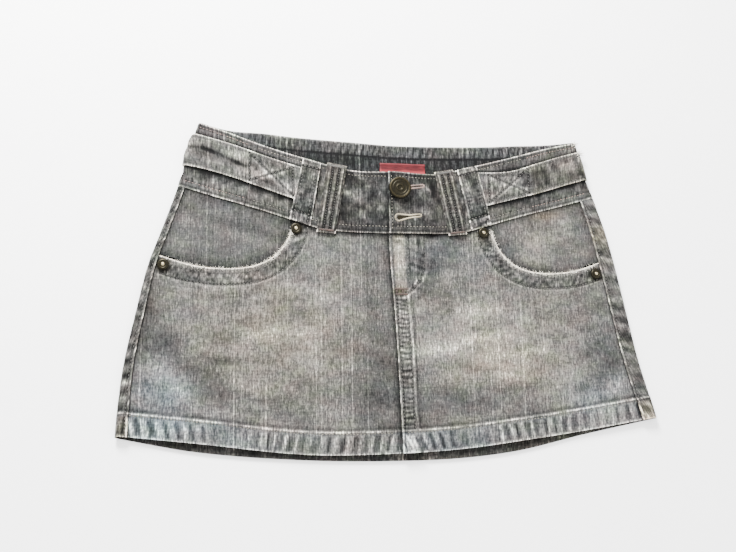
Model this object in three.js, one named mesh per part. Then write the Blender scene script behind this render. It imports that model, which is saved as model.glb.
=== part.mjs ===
// A denim mini skirt laid out flat, front up, in millimetres.
// +X runs to the wearer's left, +Y from hem to waist, +Z up from the surface that it lies on.
// The skirt is one flattened tube: the back panels lie on the surface and turn up at each side,
// where their edge laps over the front panels. The shaped waistband closes the tube above them.
import * as THREE from "three";

// Thickness of the cloth, and the space left between two pieces that touch, at an edge and in a lap.
const DENIM = 1.2;
const BAND_CLOTH = 1.8;
const FACING_CLOTH = 1.0;
const STRAP_CLOTH = 1.5;
const LABEL_CLOTH = 1.0;
const SEAM_GAP = 0.3;
const LAP_GAP = 0.42;

// Heights above the surface of the cloth's lower faces.
const FRONT_LEVEL = 2.8;
const FACING_LEVEL = 2.65;
const FRONT_BAND_LEVEL = 3.4;
const STRAP_LIFT = STRAP_CLOTH + SEAM_GAP;
const FRONT_BAND_STRAP_LIFT = 0.8;
const FLY_LIFT = DENIM + LAP_GAP;
const POCKET_LIFT = FACING_CLOTH + SEAM_GAP;
const BAND_OVERLAP_LIFT = BAND_CLOTH + SEAM_GAP;

// Hem: turned up twice, so it is thicker below its stitch line.
const HEM_HEIGHT = 20;
const ABOVE_HEM = 2 * HEM_HEIGHT;
const HEM_STEP = 2;
const HEM_FRONT_RISE = 0.9;
const HEM_FRONT_DROP = 0.3;
const HEM_BACK_RISE = 0.6;

// The two sides by the wearer's hand, with the way each lies along X.
const SIDES = { right: -1, left: 1 };

// Distance of the side fold from the centre at each height.
const SIDE_EDGE = [
  { y: -134, right: 251.1, left: 258.5 },
  { y: -108, right: 249.8, left: 252.3 },
  { y: -70, right: 246, left: 242.6 },
  { y: -25, right: 237.6, left: 234.2 },
  { y: 20, right: 228, left: 226.2 },
  { y: 60, right: 214.7, left: 217.6 },
  { y: 95, right: 203.7, left: 207.3 },
  { y: 125, right: 198.2, left: 199.2 },
  { y: 156, right: 188.5, left: 193 },
];

// Hem edge of the front and of the back, from side to side.
const HEM_EDGE = [
  { x: -251, front: -132.5, back: -134.5 },
  { x: -182, front: -140.5, back: -148 },
  { x: -81, front: -152.5, back: -157.5 },
  { x: 0, front: -153, back: -159.8 },
  { x: 60, front: -148.5, back: -158.6 },
  { x: 115, front: -141, back: -153 },
  { x: 180, front: -131.5, back: -139.5 },
  { x: 256, front: -124.3, back: -125.3 },
];

// Upper edge of the waistband: the front dips below the back.
const BAND_TOP = [
  { x: -188, front: 157.6, back: 158.4 },
  { x: -160, front: 148.8, back: 151 },
  { x: -125, front: 136.6, back: 149.2 },
  { x: -85, front: 125.6, back: 146.8 },
  { x: -40, front: 115.2, back: 144.8 },
  { x: 0, front: 115.2, back: 143 },
  { x: 40, front: 114, back: 143.5 },
  { x: 85, front: 124.6, back: 145.2 },
  { x: 125, front: 135.4, back: 147.4 },
  { x: 160, front: 145.6, back: 149.8 },
  { x: 193, front: 153.4, back: 154.2 },
];

// Lower edge of the waistband, alike on both sides, and its height at the side fold.
const BAND_BOTTOM = [
  { x: 0, front: 53.4, back: 82 },
  { x: 55, front: 54.8, back: 83 },
  { x: 74, front: 57.4, back: 83.8 },
  { x: 100, front: 65.2, back: 85.2 },
  { x: 131, front: 74.6, back: 87.4 },
  { x: 168, front: 84.5, back: 90.8 },
  { x: 205, front: 95, back: 95 },
];
const BAND_SIDE_BOTTOM = 95;
const BAND_SIDE_TOP = { right: 157.9, left: 153.7 };
const HEM_SIDE = { right: -133.6, left: -124.9 };

// Share of the way to the side fold where the waistband's front and back pieces are joined.
const BAND_JOIN = 0.7;

// Centre front: the wearer's left front laps over the right one along this line.
const CENTRE_FRONT = [
  { y: -154, x: 3.7 },
  { y: -49, x: 0.4 },
  { y: 54, x: -5 },
  { y: 116, x: -4 },
];
const BAND_CENTRE_X = -4.4;
const PANEL_UNDERLAP = 10;
const BAND_UNDERLAP = 37;
const BAND_OVERLAP_RAMP = 13;
const FLY_WIDTH = 30;
const FELL_WIDTH = 15;
const FLY_END = -2;
const FLY_RAMP = 8;

// Scooped pocket opening: share of the way from its inner end to the side seam, and its height.
const POCKET_INNER_X = 97.5;
const POCKET_EDGE = [
  { outwards: 0, y: 64.2 },
  { outwards: 0.022, y: 50 },
  { outwards: 0.075, y: 38 },
  { outwards: 0.17, y: 26.5 },
  { outwards: 0.31, y: 19.2 },
  { outwards: 0.52, y: 16.6 },
  { outwards: 0.78, y: 20.2 },
  { outwards: 1, y: 28.5 },
];
// Margin of the facing that runs on under the front panel, along the opening.
const FACING_MARGIN = [
  { along: 0, width: 11 },
  { along: 0.3, width: 13 },
  { along: 0.6, width: 18 },
  { along: 0.8, width: 8 },
  { along: 0.86, width: -0.5 },
  { along: 1, width: -0.5 },
];
const POCKET_RAMP = 9;

// Side seam: how far the back's lapped edge reaches in over the front from the fold.
const SEAM_LAP = [
  { y: -130, right: 10.5, left: 15 },
  { y: -70, right: 8.5, left: 15.5 },
  { y: 0, right: 7, left: 16 },
  { y: 40, right: 6.5, left: 16 },
  { y: 95, right: 6.5, left: 14.5 },
];
const SEAM_TUCK = 6;

// Tab sewn over the waistband: its edges on the front, and how far it runs on over the back.
const STRAP_EDGES = [
  { x: 79, topRight: 113, bottomRight: 79.4, topLeft: 116.8, bottomLeft: 79.6 },
  { x: 120, topRight: 124.6, bottomRight: 92.5, topLeft: 119.6, bottomLeft: 90.3 },
  { x: 150, topRight: 134.6, bottomRight: 102.6, topLeft: 129.4, bottomLeft: 98.4 },
  { x: 178, topRight: 142.4, bottomRight: 110.4, topLeft: 138.4, bottomLeft: 107.4 },
  { x: 200, topRight: 147, bottomRight: 114.6, topLeft: 144.2, bottomLeft: 114 },
];
const STRAP_INNER_END = { right: 84, left: 80 };
const STRAP_OUTER_X = 200;
const STRAP_BACK_LENGTH = 46;
// The waistband rises to make room for it, from here outwards and over this height below it.
const STRAP_RISE = { from: 92, to: 128, below: 4, ramp: 12 };

// Loops over the waistband: corners on the upper and the lower edge, outer one first.
const WIDE_LOOP = {
  right: { top: [-87.3, 124.6, -70.3, 120.4], bottom: [-100.4, 65.1, -80.8, 58.9] },
  left: { top: [84.1, 124, 64.4, 118.4], bottom: [97.4, 65.2, 77, 59.4] },
};
const NARROW_LOOP = {
  right: { top: [-64, 121.6, -45.2, 118.6], bottom: [-75, 53, -57, 51.6] },
  left: { top: [60.2, 119.2, 41.4, 115.6], bottom: [72.2, 54, 54.2, 52] },
};
const WIDE_LOOP_CLOTH = 1.4;
const NARROW_LOOP_CLOTH = 2.2;
const NARROW_LOOP_ARCH = 1;

// Metal pieces.
const BUTTON = { x: 6.1, y: 98.2, radius: 11 };
const RIVET_RADIUS = 5.2;
const RIVETS = [
  { name: "rivet_inner_right", x: -94, y: 56 },
  { name: "rivet_outer_right", x: -214.8, y: 19.6 },
  { name: "rivet_inner_left", x: 89.5, y: 56 },
  { name: "rivet_outer_left", x: 204, y: 17 },
];

// Plain tab inside the back waist, and the closed zip under the fly.
const LABEL = { from: -12, to: 33, top: 124.5, bottom: 99 };
const ZIP = { width: 17, top: 50, bottom: 8, cloth: 1.1 };

// Largest soft folds of the front, as ridges from one point to another.
const FOLDS = [
  { x1: -236, y1: -66, x2: -150, y2: -138, width: 11, height: 1.1 },
  { x1: -222, y1: -22, x2: -128, y2: -112, width: 13, height: 0.8 },
  { x1: -150, y1: -84, x2: -96, y2: -126, width: 14, height: 0.6 },
  { x1: 236, y1: -70, x2: 152, y2: -116, width: 12, height: 1 },
  { x1: 208, y1: -8, x2: 104, y2: -42, width: 15, height: 0.7 },
  { x1: 44, y1: -118, x2: 120, y2: -92, width: 16, height: 0.6 },
  { x1: -120, y1: 6, x2: -40, y2: -26, width: 15, height: 0.6 },
];

const lerp = THREE.MathUtils.lerp;
const clamp = THREE.MathUtils.clamp;
const step = (from, to, value) => THREE.MathUtils.smoothstep(value, from, to);

// Smooth curve through one column of a table over another, straight on past its ends.
function through(rows, over, column) {
  const at = rows.map((row) => row[over]);
  const value = rows.map((row) => row[column]);
  const last = at.length - 1;
  const chord = (i) => (value[i + 1] - value[i]) / (at[i + 1] - at[i]);
  const slope = at.map((_, i) => {
    if (i === 0) return chord(0);
    if (i === last) return chord(last - 1);
    return (chord(i - 1) + chord(i)) / 2;
  });
  return (x) => {
    if (x <= at[0]) return value[0] + slope[0] * (x - at[0]);
    if (x >= at[last]) return value[last] + slope[last] * (x - at[last]);
    const i = at.findIndex((a, k) => k < last && x <= at[k + 1] && x >= a);
    const width = at[i + 1] - at[i];
    const s = (x - at[i]) / width;
    const a = value[i] * (1 + 2 * s) * (1 - s) ** 2 + value[i + 1] * s * s * (3 - 2 * s);
    const b = slope[i] * s * (1 - s) ** 2 - slope[i + 1] * s * s * (1 - s);
    return a + b * width;
  };
}

const sideColumns = (rows, over) => ({
  right: through(rows, over, "right"),
  left: through(rows, over, "left"),
});
const sideEdge = sideColumns(SIDE_EDGE, "y");
const seamLap = sideColumns(SEAM_LAP, "y");
const hemFront = through(HEM_EDGE, "x", "front");
const hemBack = through(HEM_EDGE, "x", "back");
const bandTopFront = through(BAND_TOP, "x", "front");
const bandTopBack = through(BAND_TOP, "x", "back");
const frontBottomCurve = through(BAND_BOTTOM, "x", "front");
const backBottomCurve = through(BAND_BOTTOM, "x", "back");
const bandBottomFront = (x) => frontBottomCurve(Math.abs(x));
const bandBottomBack = (x) => backBottomCurve(Math.abs(x));
const centreFront = through(CENTRE_FRONT, "y", "x");
const facingMargin = through(FACING_MARGIN, "along", "width");
const strapTop = {
  right: through(STRAP_EDGES, "x", "topRight"),
  left: through(STRAP_EDGES, "x", "topLeft"),
};
const strapBottom = {
  right: through(STRAP_EDGES, "x", "bottomRight"),
  left: through(STRAP_EDGES, "x", "bottomLeft"),
};

// Even steps from one value to another, both ends included.
function steps(from, to, count) {
  return Array.from({ length: count + 1 }, (_, i) => lerp(from, to, i / count));
}

// 1 below the hem's stitch line, 0 above it, by the distance up from the hem's edge.
const hemShare = (up) => 1 - step(HEM_HEIGHT, HEM_HEIGHT + HEM_STEP, up);
const backCloth = (up) => DENIM + HEM_BACK_RISE * hemShare(up);

// The back's edge lies over the front's at each side seam; together they give the fold its radius.
const lapLow = (up) => FRONT_LEVEL + DENIM + SEAM_GAP + HEM_FRONT_RISE * hemShare(up);
const foldRadius = (up) => (lapLow(up) + backCloth(up)) / 2;
const foldCentre = (side, y, up) => sideEdge[side](y) - foldRadius(up);
const seamX = (side, y) => sideEdge[side](y) - seamLap[side](y);

// Height of the soft folds, fading out towards the side seams.
function foldHeight(x, y) {
  const side = x < 0 ? "right" : "left";
  const inside = step(2, 18, seamX(side, y) - Math.abs(x));
  let height = 0;
  for (const fold of FOLDS) {
    const run = new THREE.Vector2(fold.x2 - fold.x1, fold.y2 - fold.y1);
    const from = new THREE.Vector2(x - fold.x1, y - fold.y1);
    const along = from.dot(run) / run.lengthSq();
    const across = from.cross(run) / run.length();
    const ends = step(-0.1, 0.35, along) * step(-0.1, 0.35, 1 - along);
    height += fold.height * ends * Math.exp(-((across / fold.width) ** 2));
  }
  return height * inside;
}

// The pocket opening's edge as points with a downward and inward normal.
const POCKET_SAMPLES = 48;
const OPENING_STEPS = 16;
const pocketEdge = {};
for (const side of Object.keys(SIDES)) {
  const end = seamX(side, POCKET_EDGE[POCKET_EDGE.length - 1].y);
  const raw = POCKET_EDGE.map(
    (row) => new THREE.Vector3(lerp(POCKET_INNER_X, end, row.outwards), row.y, 0),
  );
  const curve = new THREE.CatmullRomCurve3(raw, false, "centripetal");
  pocketEdge[side] = steps(0, 1, POCKET_SAMPLES).map((along) => {
    const point = curve.getPointAt(along);
    const tangent = curve.getTangentAt(along);
    return { x: point.x, y: point.y, nx: tangent.y, ny: -tangent.x, margin: facingMargin(along), along };
  });
}

// Height added where the front panel passes over the pocket facing's margin.
function pocketHeight(x, y) {
  const side = x < 0 ? "right" : "left";
  let best = Infinity;
  let nearest = null;
  for (const point of pocketEdge[side]) {
    const away = Math.hypot(Math.abs(x) - point.x, y - point.y);
    if (away < best) {
      best = away;
      nearest = point;
    }
  }
  const fade = 1 - step(0.87, 0.99, nearest.along);
  const reach = Math.max(nearest.margin, 0) + 3;
  return POCKET_LIFT * fade * (1 - step(reach, reach + POCKET_RAMP, best));
}

// Height added to the wearer's left front where it laps over the fly and the centre seam.
function lapHeight(x, y, up) {
  const width = lerp(FELL_WIDTH, FLY_WIDTH, step(FLY_END - 12, FLY_END, y));
  const past = x - centreFront(y);
  const lift = FLY_LIFT + (HEM_FRONT_RISE + HEM_FRONT_DROP) * hemShare(up);
  return lift * (1 - step(width, width + FLY_RAMP, past));
}

function frontLow(side, x, y, up) {
  const lap = side === "left" ? lapHeight(x, y, up) : 0;
  const lift = Math.max(lap, pocketHeight(x, y));
  return FRONT_LEVEL + lift + foldHeight(x, y) - HEM_FRONT_DROP * hemShare(up);
}
const frontCloth = (up) => DENIM + (HEM_FRONT_RISE + HEM_FRONT_DROP) * hemShare(up);

// How far the waistband is lifted where the tab passes over and under it.
function strapShare(x, y) {
  const side = x < 0 ? "right" : "left";
  const out = Math.abs(x);
  const full = strapBottom[side](clamp(out, STRAP_INNER_END[side], STRAP_OUTER_X)) - STRAP_RISE.below;
  return step(STRAP_RISE.from, STRAP_RISE.to, out) * step(full - STRAP_RISE.ramp, full, y);
}
const backBandLow = (x, y) => STRAP_LIFT * strapShare(x, y);
function bandOverlap(x) {
  const past = x - BAND_CENTRE_X;
  return BAND_OVERLAP_LIFT * (1 - step(BAND_UNDERLAP, BAND_UNDERLAP + BAND_OVERLAP_RAMP, past));
}
function frontBandLow(side, x, y) {
  const over = side === "left" ? bandOverlap(x) : 0;
  return FRONT_BAND_LEVEL + FRONT_BAND_STRAP_LIFT * strapShare(x, y) + over;
}

const colour = (hex, roughness, metalness = 0) =>
  new THREE.MeshStandardMaterial({ color: hex, roughness, metalness });
const materials = {
  denim: colour(0x9a9a95, 0.95),
  denimInside: colour(0x5c5b5c, 0.95),
  denimFacing: colour(0x8e8d88, 0.95),
  brass: colour(0x6b5a3c, 0.45, 0.9),
  redCloth: colour(0xa8323a, 0.85),
  zip: colour(0x55565a, 0.7),
};

const skirt = new THREE.Group();

function addMesh(name, geometry, material) {
  const mesh = new THREE.Mesh(geometry, material);
  mesh.name = name;
  skirt.add(mesh);
  return mesh;
}

// A closed wall of cloth between two grids of points, with a rim round their edge.
function addWall(name, material, upper, lower) {
  const rows = upper.length;
  const columns = upper[0].length;
  const size = rows * columns;
  const positions = [...upper.flat(), ...lower.flat()].flat();
  const index = [];
  const quad = (a, b, c, d) => index.push(a, b, c, a, c, d);
  const at = (row, column) => row * columns + column;
  for (let row = 0; row + 1 < rows; row++)
    for (let column = 0; column + 1 < columns; column++) {
      const [a, b] = [at(row, column), at(row, column + 1)];
      const [c, d] = [at(row + 1, column + 1), at(row + 1, column)];
      quad(a, b, c, d);
      quad(size + a, size + d, size + c, size + b);
    }
  const rim = [];
  for (let column = 0; column < columns - 1; column++) rim.push(at(0, column));
  for (let row = 0; row < rows - 1; row++) rim.push(at(row, columns - 1));
  for (let column = columns - 1; column > 0; column--) rim.push(at(rows - 1, column));
  for (let row = rows - 1; row > 0; row--) rim.push(at(row, 0));
  rim.forEach((a, i) => {
    const b = rim[(i + 1) % rim.length];
    quad(b, a, size + a, size + b);
  });
  const point = (i) => new THREE.Vector3().fromArray(positions, 3 * i);
  let volume = 0;
  for (let i = 0; i < index.length; i += 3)
    volume += point(index[i]).dot(point(index[i + 1]).cross(point(index[i + 2])));
  if (volume < 0) index.reverse();
  const geometry = new THREE.BufferGeometry();
  geometry.setAttribute("position", new THREE.Float32BufferAttribute(positions, 3));
  geometry.setIndex(index);
  geometry.computeVertexNormals();
  return addMesh(name, geometry, material);
}

// Points of a grid, each given as a place with a lower and an upper height.
function addLaidWall(name, material, places) {
  const upper = places.map((row) => row.map((p) => [p.x, p.y, p.low + p.cloth]));
  const lower = places.map((row) => row.map((p) => [p.x, p.y, p.low]));
  return addWall(name, material, upper, lower);
}

// Distances up from the hem's edge of a panel's rows, for a panel of this length.
// Rows listed by their distance below the upper edge come last.
const HEM_ROWS = [0, 10, HEM_HEIGHT, HEM_HEIGHT + HEM_STEP];
function rowsUp(length, count, below = [0]) {
  const above = steps(HEM_HEIGHT + HEM_STEP, length - below[0], count).slice(1);
  return [...HEM_ROWS, ...above, ...below.slice(1).map((down) => length - down)];
}

// Place across a front panel: 0 at the centre edge, 1 at the side seam, beyond both where it laps.
function panelX(side, share, y, up) {
  const way = SIDES[side];
  const centre = centreFront(y);
  const seam = seamX(side, y);
  if (share < 0) return centre + way * PANEL_UNDERLAP * share;
  if (share > 1) {
    const tuck = Math.min(SEAM_TUCK, foldCentre(side, y, up) + SEAM_GAP - seam);
    return way * (seam + tuck * (share - 1));
  }
  return lerp(centre, way * seam, share);
}

// Front panel: its upper edge follows the waistband and then the pocket opening.
const PANEL_ROWS = 4;
const PANEL_TOP_ROWS = [46, 34, 24, 16, 8, 0];
const PANEL_SHARES = {
  right: [-1, 0, 0.06, 0.14, 0.22, 0.3, 0.37, 0.42],
  left: [0, 0.07, 0.105, 0.14, 0.17, 0.23, 0.3, 0.36, 0.41, 0.442],
};
function frontPanel(side) {
  const opening = pocketEdge[side];
  const end = opening[opening.length - 1];
  const upperEdge = (x) => {
    const waist = bandBottomFront(x) - SEAM_GAP;
    if (x <= POCKET_INNER_X) return waist;
    if (x >= end.x) return end.y;
    const i = opening.findIndex((point) => point.x > x);
    const share = (x - opening[i - 1].x) / (opening[i].x - opening[i - 1].x);
    return Math.min(lerp(opening[i - 1].y, opening[i].y, share), waist);
  };
  // Under the opening the columns stand closer where its edge is steep.
  const openingShares = steps(0, 1, OPENING_STEPS).map((along) => {
    const point = opening[Math.round(along * POCKET_SAMPLES)];
    const centre = SIDES[side] * centreFront(point.y);
    return (point.x - centre) / (seamX(side, point.y) - centre);
  });
  const shares = [...PANEL_SHARES[side], ...openingShares.slice(0, -1), 1, 2];
  const columns = shares.map((share) => {
    const inSeam = clamp(share, 0, 1);
    let top = bandBottomFront(0);
    for (let i = 0; i < 12; i++) top = upperEdge(Math.abs(panelX(side, inSeam, top, ABOVE_HEM)));
    let hem = HEM_SIDE[side];
    for (let i = 0; i < 4; i++) hem = hemFront(panelX(side, inSeam, hem, 0));
    return { share, hem, ups: rowsUp(top - hem, PANEL_ROWS, PANEL_TOP_ROWS) };
  });
  const places = columns[0].ups.map((_, row) =>
    columns.map(({ share, hem, ups }) => {
      const up = ups[row];
      const y = hem + up;
      const x = panelX(side, share, y, up);
      return { x, y, low: frontLow(side, x, y, up), cloth: frontCloth(up) };
    }),
  );
  addLaidWall("front_panel_" + side, materials.denim, places);
}

// Pocket facing: from the waistband down to its margin under the front panel.
const FACING_ROWS = 4;
function pocketFacing(side) {
  const way = SIDES[side];
  const opening = pocketEdge[side];
  const picks = steps(0, 1, OPENING_STEPS).map((along) => opening[Math.round(along * POCKET_SAMPLES)]);
  const topInner = POCKET_INNER_X - picks[0].margin + 1;
  const sideTop = BAND_SIDE_BOTTOM - 3;
  const columns = picks.map((point) => {
    const topX = lerp(topInner, seamX(side, sideTop), point.along);
    const top = { x: topX, y: bandBottomFront(topX) - SEAM_GAP };
    const x = point.x + point.nx * point.margin;
    const lowest = bandBottomFront(x) - 4;
    return { top, bottom: { x, y: Math.min(point.y + point.ny * point.margin, lowest) } };
  });
  const last = columns.length - 1;
  const places = steps(0, 1, FACING_ROWS).map((share) => {
    const row = columns.map(({ top, bottom }, i) => {
      const y = lerp(bottom.y, top.y, share);
      const x = i === last ? seamX(side, y) : lerp(bottom.x, top.x, share);
      return { x: way * x, y, low: FACING_LEVEL, cloth: FACING_CLOTH };
    });
    const edge = row[last];
    const tuck = Math.min(SEAM_TUCK, foldCentre(side, edge.y, ABOVE_HEM) + SEAM_GAP - seamX(side, edge.y));
    return [...row, { ...edge, x: edge.x + way * tuck }];
  });
  addLaidWall("pocket_facing_" + side, materials.denimFacing, places);
}

// Back panel: flat from the centre back, round the side fold and in over the front's edge.
const BACK_ROWS = 9;
const FOLD_STEPS = 6;
function backPanel(side) {
  const way = SIDES[side];
  const topY = BAND_SIDE_BOTTOM - SEAM_GAP;
  const sideUps = rowsUp(topY - HEM_SIDE[side], BACK_ROWS);
  const centreAt = (row) => foldCentre(side, HEM_SIDE[side] + sideUps[row], sideUps[row]);
  const lastRow = sideUps.length - 1;
  const runY = (share, row, hemEdge, waistEdge) => {
    const hem = hemEdge(way * share * centreAt(0));
    const waist = waistEdge(share * centreAt(lastRow)) - SEAM_GAP;
    return hem + rowsUp(waist - hem, BACK_ROWS)[row];
  };
  const outer = [];
  const inner = [];
  sideUps.forEach((up, row) => {
    const cloth = backCloth(up);
    const radius = foldRadius(up);
    const centre = centreAt(row);
    const out = [];
    const into = [];
    for (const share of steps(0, 1, 7)) {
      const x = Math.max(share * centre, SEAM_GAP / 2);
      const y = runY(share, row, hemBack, bandBottomBack);
      out.push([way * x, y, 0]);
      into.push([way * x, y, cloth]);
    }
    const backY = runY(1, row, hemBack, bandBottomBack);
    const frontY = runY(1, row, hemFront, bandBottomFront);
    for (const turn of steps(0, 1, FOLD_STEPS).slice(1)) {
      const angle = turn * Math.PI;
      const y = lerp(backY, frontY, turn);
      const wall = (r) => [way * (centre + r * Math.sin(angle)), y, radius - r * Math.cos(angle)];
      out.push(wall(radius));
      into.push(wall(radius - cloth));
    }
    for (const share of [0.5, 1]) {
      const x = lerp(centre, seamX(side, frontY), share);
      const y = runY(x / centre, row, hemFront, bandBottomFront);
      const low = lapLow(up);
      out.push([way * x, y, low + cloth]);
      into.push([way * x, y, low]);
    }
    outer.push(out);
    inner.push(into);
  });
  addWall("back_panel_" + side, materials.denim, outer, inner);
}

// Side fold of the waistband at a height, with the room that the tab needs outside it.
function bandFold(side, y) {
  const x = SIDES[side] * sideEdge[side](y);
  const share = strapShare(x, y);
  const back = STRAP_LIFT * share;
  const room = FRONT_BAND_LEVEL + FRONT_BAND_STRAP_LIFT * share - back - BAND_CLOTH;
  const radius = room / 2 + BAND_CLOTH;
  return { radius, height: back + radius, centre: Math.abs(x) - radius - STRAP_LIFT * share };
}

const BAND_SHARES = [0, 0.2, 0.36, 0.5, 0.68, 0.86, 1];
const bandSideY = (side, share) => lerp(BAND_SIDE_BOTTOM, BAND_SIDE_TOP[side], share);

// Place on the front of the waistband: across from the centre edge to the fold, and up.
function bandFrontPlace(side, across, share) {
  const way = SIDES[side];
  const xAt = (s) => {
    if (across < 0) return BAND_CENTRE_X + way * (BAND_UNDERLAP - 2) * across;
    return lerp(BAND_CENTRE_X, way * bandFold(side, bandSideY(side, s)).centre, across);
  };
  const y = lerp(bandBottomFront(xAt(0)), bandTopFront(xAt(1)), share);
  return { x: xAt(share), y };
}

const BAND_COLUMNS = {
  right: [-1, -0.4, 0, 0.12, 0.24, 0.35, 0.44, 0.52, 0.6],
  left: [0, 0.1, 0.185, 0.205, 0.225, 0.25, 0.3, 0.4, 0.5, 0.6],
};
function waistbandFront(side) {
  const columns = [...BAND_COLUMNS[side], BAND_JOIN - 0.002];
  const places = BAND_SHARES.map((share) =>
    columns.map((across) => {
      const { x, y } = bandFrontPlace(side, across, share);
      return { x, y, low: frontBandLow(side, x, y), cloth: BAND_CLOTH };
    }),
  );
  addLaidWall("waistband_front_" + side, materials.denim, places);
}

// Back of the waistband: from the join on one side of the front, round the back, to the other.
function waistbandBack() {
  const outer = [];
  const inner = [];
  for (const share of BAND_SHARES) {
    const half = (side) => {
      const way = SIDES[side];
      const fold = bandFold(side, bandSideY(side, share));
      const foldAt = (s) => bandFold(side, bandSideY(side, s)).centre;
      const backY = (x) => {
        const at = x / fold.centre;
        return lerp(bandBottomBack(at * foldAt(0)), bandTopBack(way * at * foldAt(1)), share);
      };
      const points = [];
      for (const x of steps(0, fold.centre, 9)) {
        const low = backBandLow(way * x, backY(x));
        points.push([[way * x, backY(x), low], [way * x, backY(x), low + BAND_CLOTH]]);
      }
      const frontEnd = bandFrontPlace(side, 1, share);
      for (const turn of steps(0, 1, FOLD_STEPS).slice(1, -1)) {
        const angle = turn * Math.PI;
        const y = lerp(backY(fold.centre), frontEnd.y, turn);
        const wall = (r) => [
          way * (fold.centre + r * Math.sin(angle)), y, fold.height - r * Math.cos(angle),
        ];
        points.push([wall(fold.radius), wall(fold.radius - BAND_CLOTH)]);
      }
      for (const across of steps(1, BAND_JOIN, 4)) {
        const { x, y } = bandFrontPlace(side, across, share);
        const low = frontBandLow(side, x, y);
        points.push([[x, y, low + BAND_CLOTH], [x, y, low]]);
      }
      return points;
    };
    const row = [...half("right").reverse(), ...half("left").slice(1)];
    outer.push(row.map((pair) => pair[0]));
    inner.push(row.map((pair) => pair[1]));
  }
  addWall("waistband_back", materials.denimInside, outer, inner);
}

// Tab over the waistband: along the front, round the fold and on over the back.
const STRAP_SHARES = [0, 0.5, 1];
function strap(side) {
  const way = SIDES[side];
  const outer = [];
  const inner = [];
  for (const share of STRAP_SHARES) {
    const edgeY = (x) => lerp(strapBottom[side](x), strapTop[side](x), share);
    let foldY = edgeY(STRAP_OUTER_X);
    for (let i = 0; i < 4; i++) foldY = edgeY(bandFold(side, foldY).centre);
    const fold = bandFold(side, foldY);
    const near = fold.radius + SEAM_GAP;
    const out = [];
    const into = [];
    for (const x of steps(STRAP_INNER_END[side], fold.centre, 12)) {
      const y = edgeY(x);
      const low = frontBandLow(side, way * x, y) + BAND_CLOTH + SEAM_GAP;
      out.push([way * x, y, low + STRAP_CLOTH]);
      into.push([way * x, y, low]);
    }
    for (const turn of steps(0, 1, FOLD_STEPS).slice(1, -1)) {
      const angle = turn * Math.PI;
      const wall = (r) => [
        way * (fold.centre + r * Math.sin(angle)), foldY, fold.height + r * Math.cos(angle),
      ];
      out.push(wall(near + STRAP_CLOTH));
      into.push(wall(near));
    }
    for (const x of steps(fold.centre, fold.centre - STRAP_BACK_LENGTH, 4)) {
      const y = foldY + bandTopBack(way * x) - bandTopBack(way * fold.centre);
      out.push([way * x, y, 0]);
      into.push([way * x, y, STRAP_CLOTH]);
    }
    outer.push(out);
    inner.push(into);
  }
  addWall("strap_" + side, materials.denim, outer, inner);
}

// A loop over the waistband between its four corners; rise gives its height over the band.
function bandLoop(name, side, corners, cloth, rise, rows, columns) {
  const [outerTopX, outerTopY, innerTopX, innerTopY] = corners.top;
  const [outerLowX, outerLowY, innerLowX, innerLowY] = corners.bottom;
  const places = steps(0, 1, rows).map((up) =>
    steps(0, 1, columns).map((across) => {
      const x = lerp(lerp(outerLowX, innerLowX, across), lerp(outerTopX, innerTopX, across), up);
      const y = lerp(lerp(outerLowY, innerLowY, across), lerp(outerTopY, innerTopY, across), up);
      const low = frontBandLow(side, x, y) + BAND_CLOTH + SEAM_GAP + rise(x, y, up);
      return { x, y, low, cloth };
    }),
  );
  addLaidWall(name, materials.denim, places);
}

function wideLoopRise(side) {
  return (x, y) => {
    const out = Math.max(Math.abs(x), STRAP_INNER_END[side]);
    const bottom = strapBottom[side](out);
    const top = strapTop[side](out);
    return STRAP_LIFT * step(bottom - 12, bottom - 3.5, y) * (1 - step(top + 2.5, top + 7, y));
  };
}
function narrowLoopRise() {
  return (_x, _y, up) => NARROW_LOOP_ARCH * step(0.02, 0.2, up) * (1 - step(0.82, 1, up));
}

// Plain tab inside the back of the waist.
function waistLabel() {
  const low = BAND_CLOTH + SEAM_GAP;
  const places = steps(LABEL.bottom, LABEL.top, 3).map((y) =>
    steps(LABEL.from, LABEL.to, 5).map((x) => ({ x, y, low, cloth: LABEL_CLOTH })),
  );
  addLaidWall("waist_label", materials.redCloth, places);
}

// Closed zip between the edge of the wearer's right front and the fly.
function flyZip() {
  const places = steps(ZIP.bottom, ZIP.top, 4).map((y) => {
    const from = centreFront(y) + PANEL_UNDERLAP + SEAM_GAP;
    return steps(from, from + ZIP.width, 3).map((x) => ({ x, y, low: FRONT_LEVEL, cloth: ZIP.cloth }));
  });
  addLaidWall("fly_zip", materials.zip, places);
}

// A turned piece: its profile as radius and height, from the middle of the back to the front.
function addTurned(name, material, profile, segments, x, y, z) {
  const points = profile.map(([radius, height]) => new THREE.Vector2(radius, height));
  const geometry = new THREE.LatheGeometry(points, segments);
  geometry.rotateX(Math.PI / 2);
  const mesh = addMesh(name, geometry, material);
  mesh.position.set(x, y, z);
}

function flyButton() {
  const profile = [
    [0, 0], [7, 0], [BUTTON.radius - 0.6, 0.9], [BUTTON.radius, 1.8], [BUTTON.radius - 0.4, 2.9],
    [BUTTON.radius - 1.6, 3.3], [BUTTON.radius - 2.6, 2.7], [3.6, 2.5], [2.6, 3.1], [1.4, 2.6], [0, 2.5],
  ];
  const low = FRONT_BAND_LEVEL + BAND_OVERLAP_LIFT + BAND_CLOTH + SEAM_GAP;
  addTurned("button", materials.brass, profile, 32, BUTTON.x, BUTTON.y, low);
}

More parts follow.
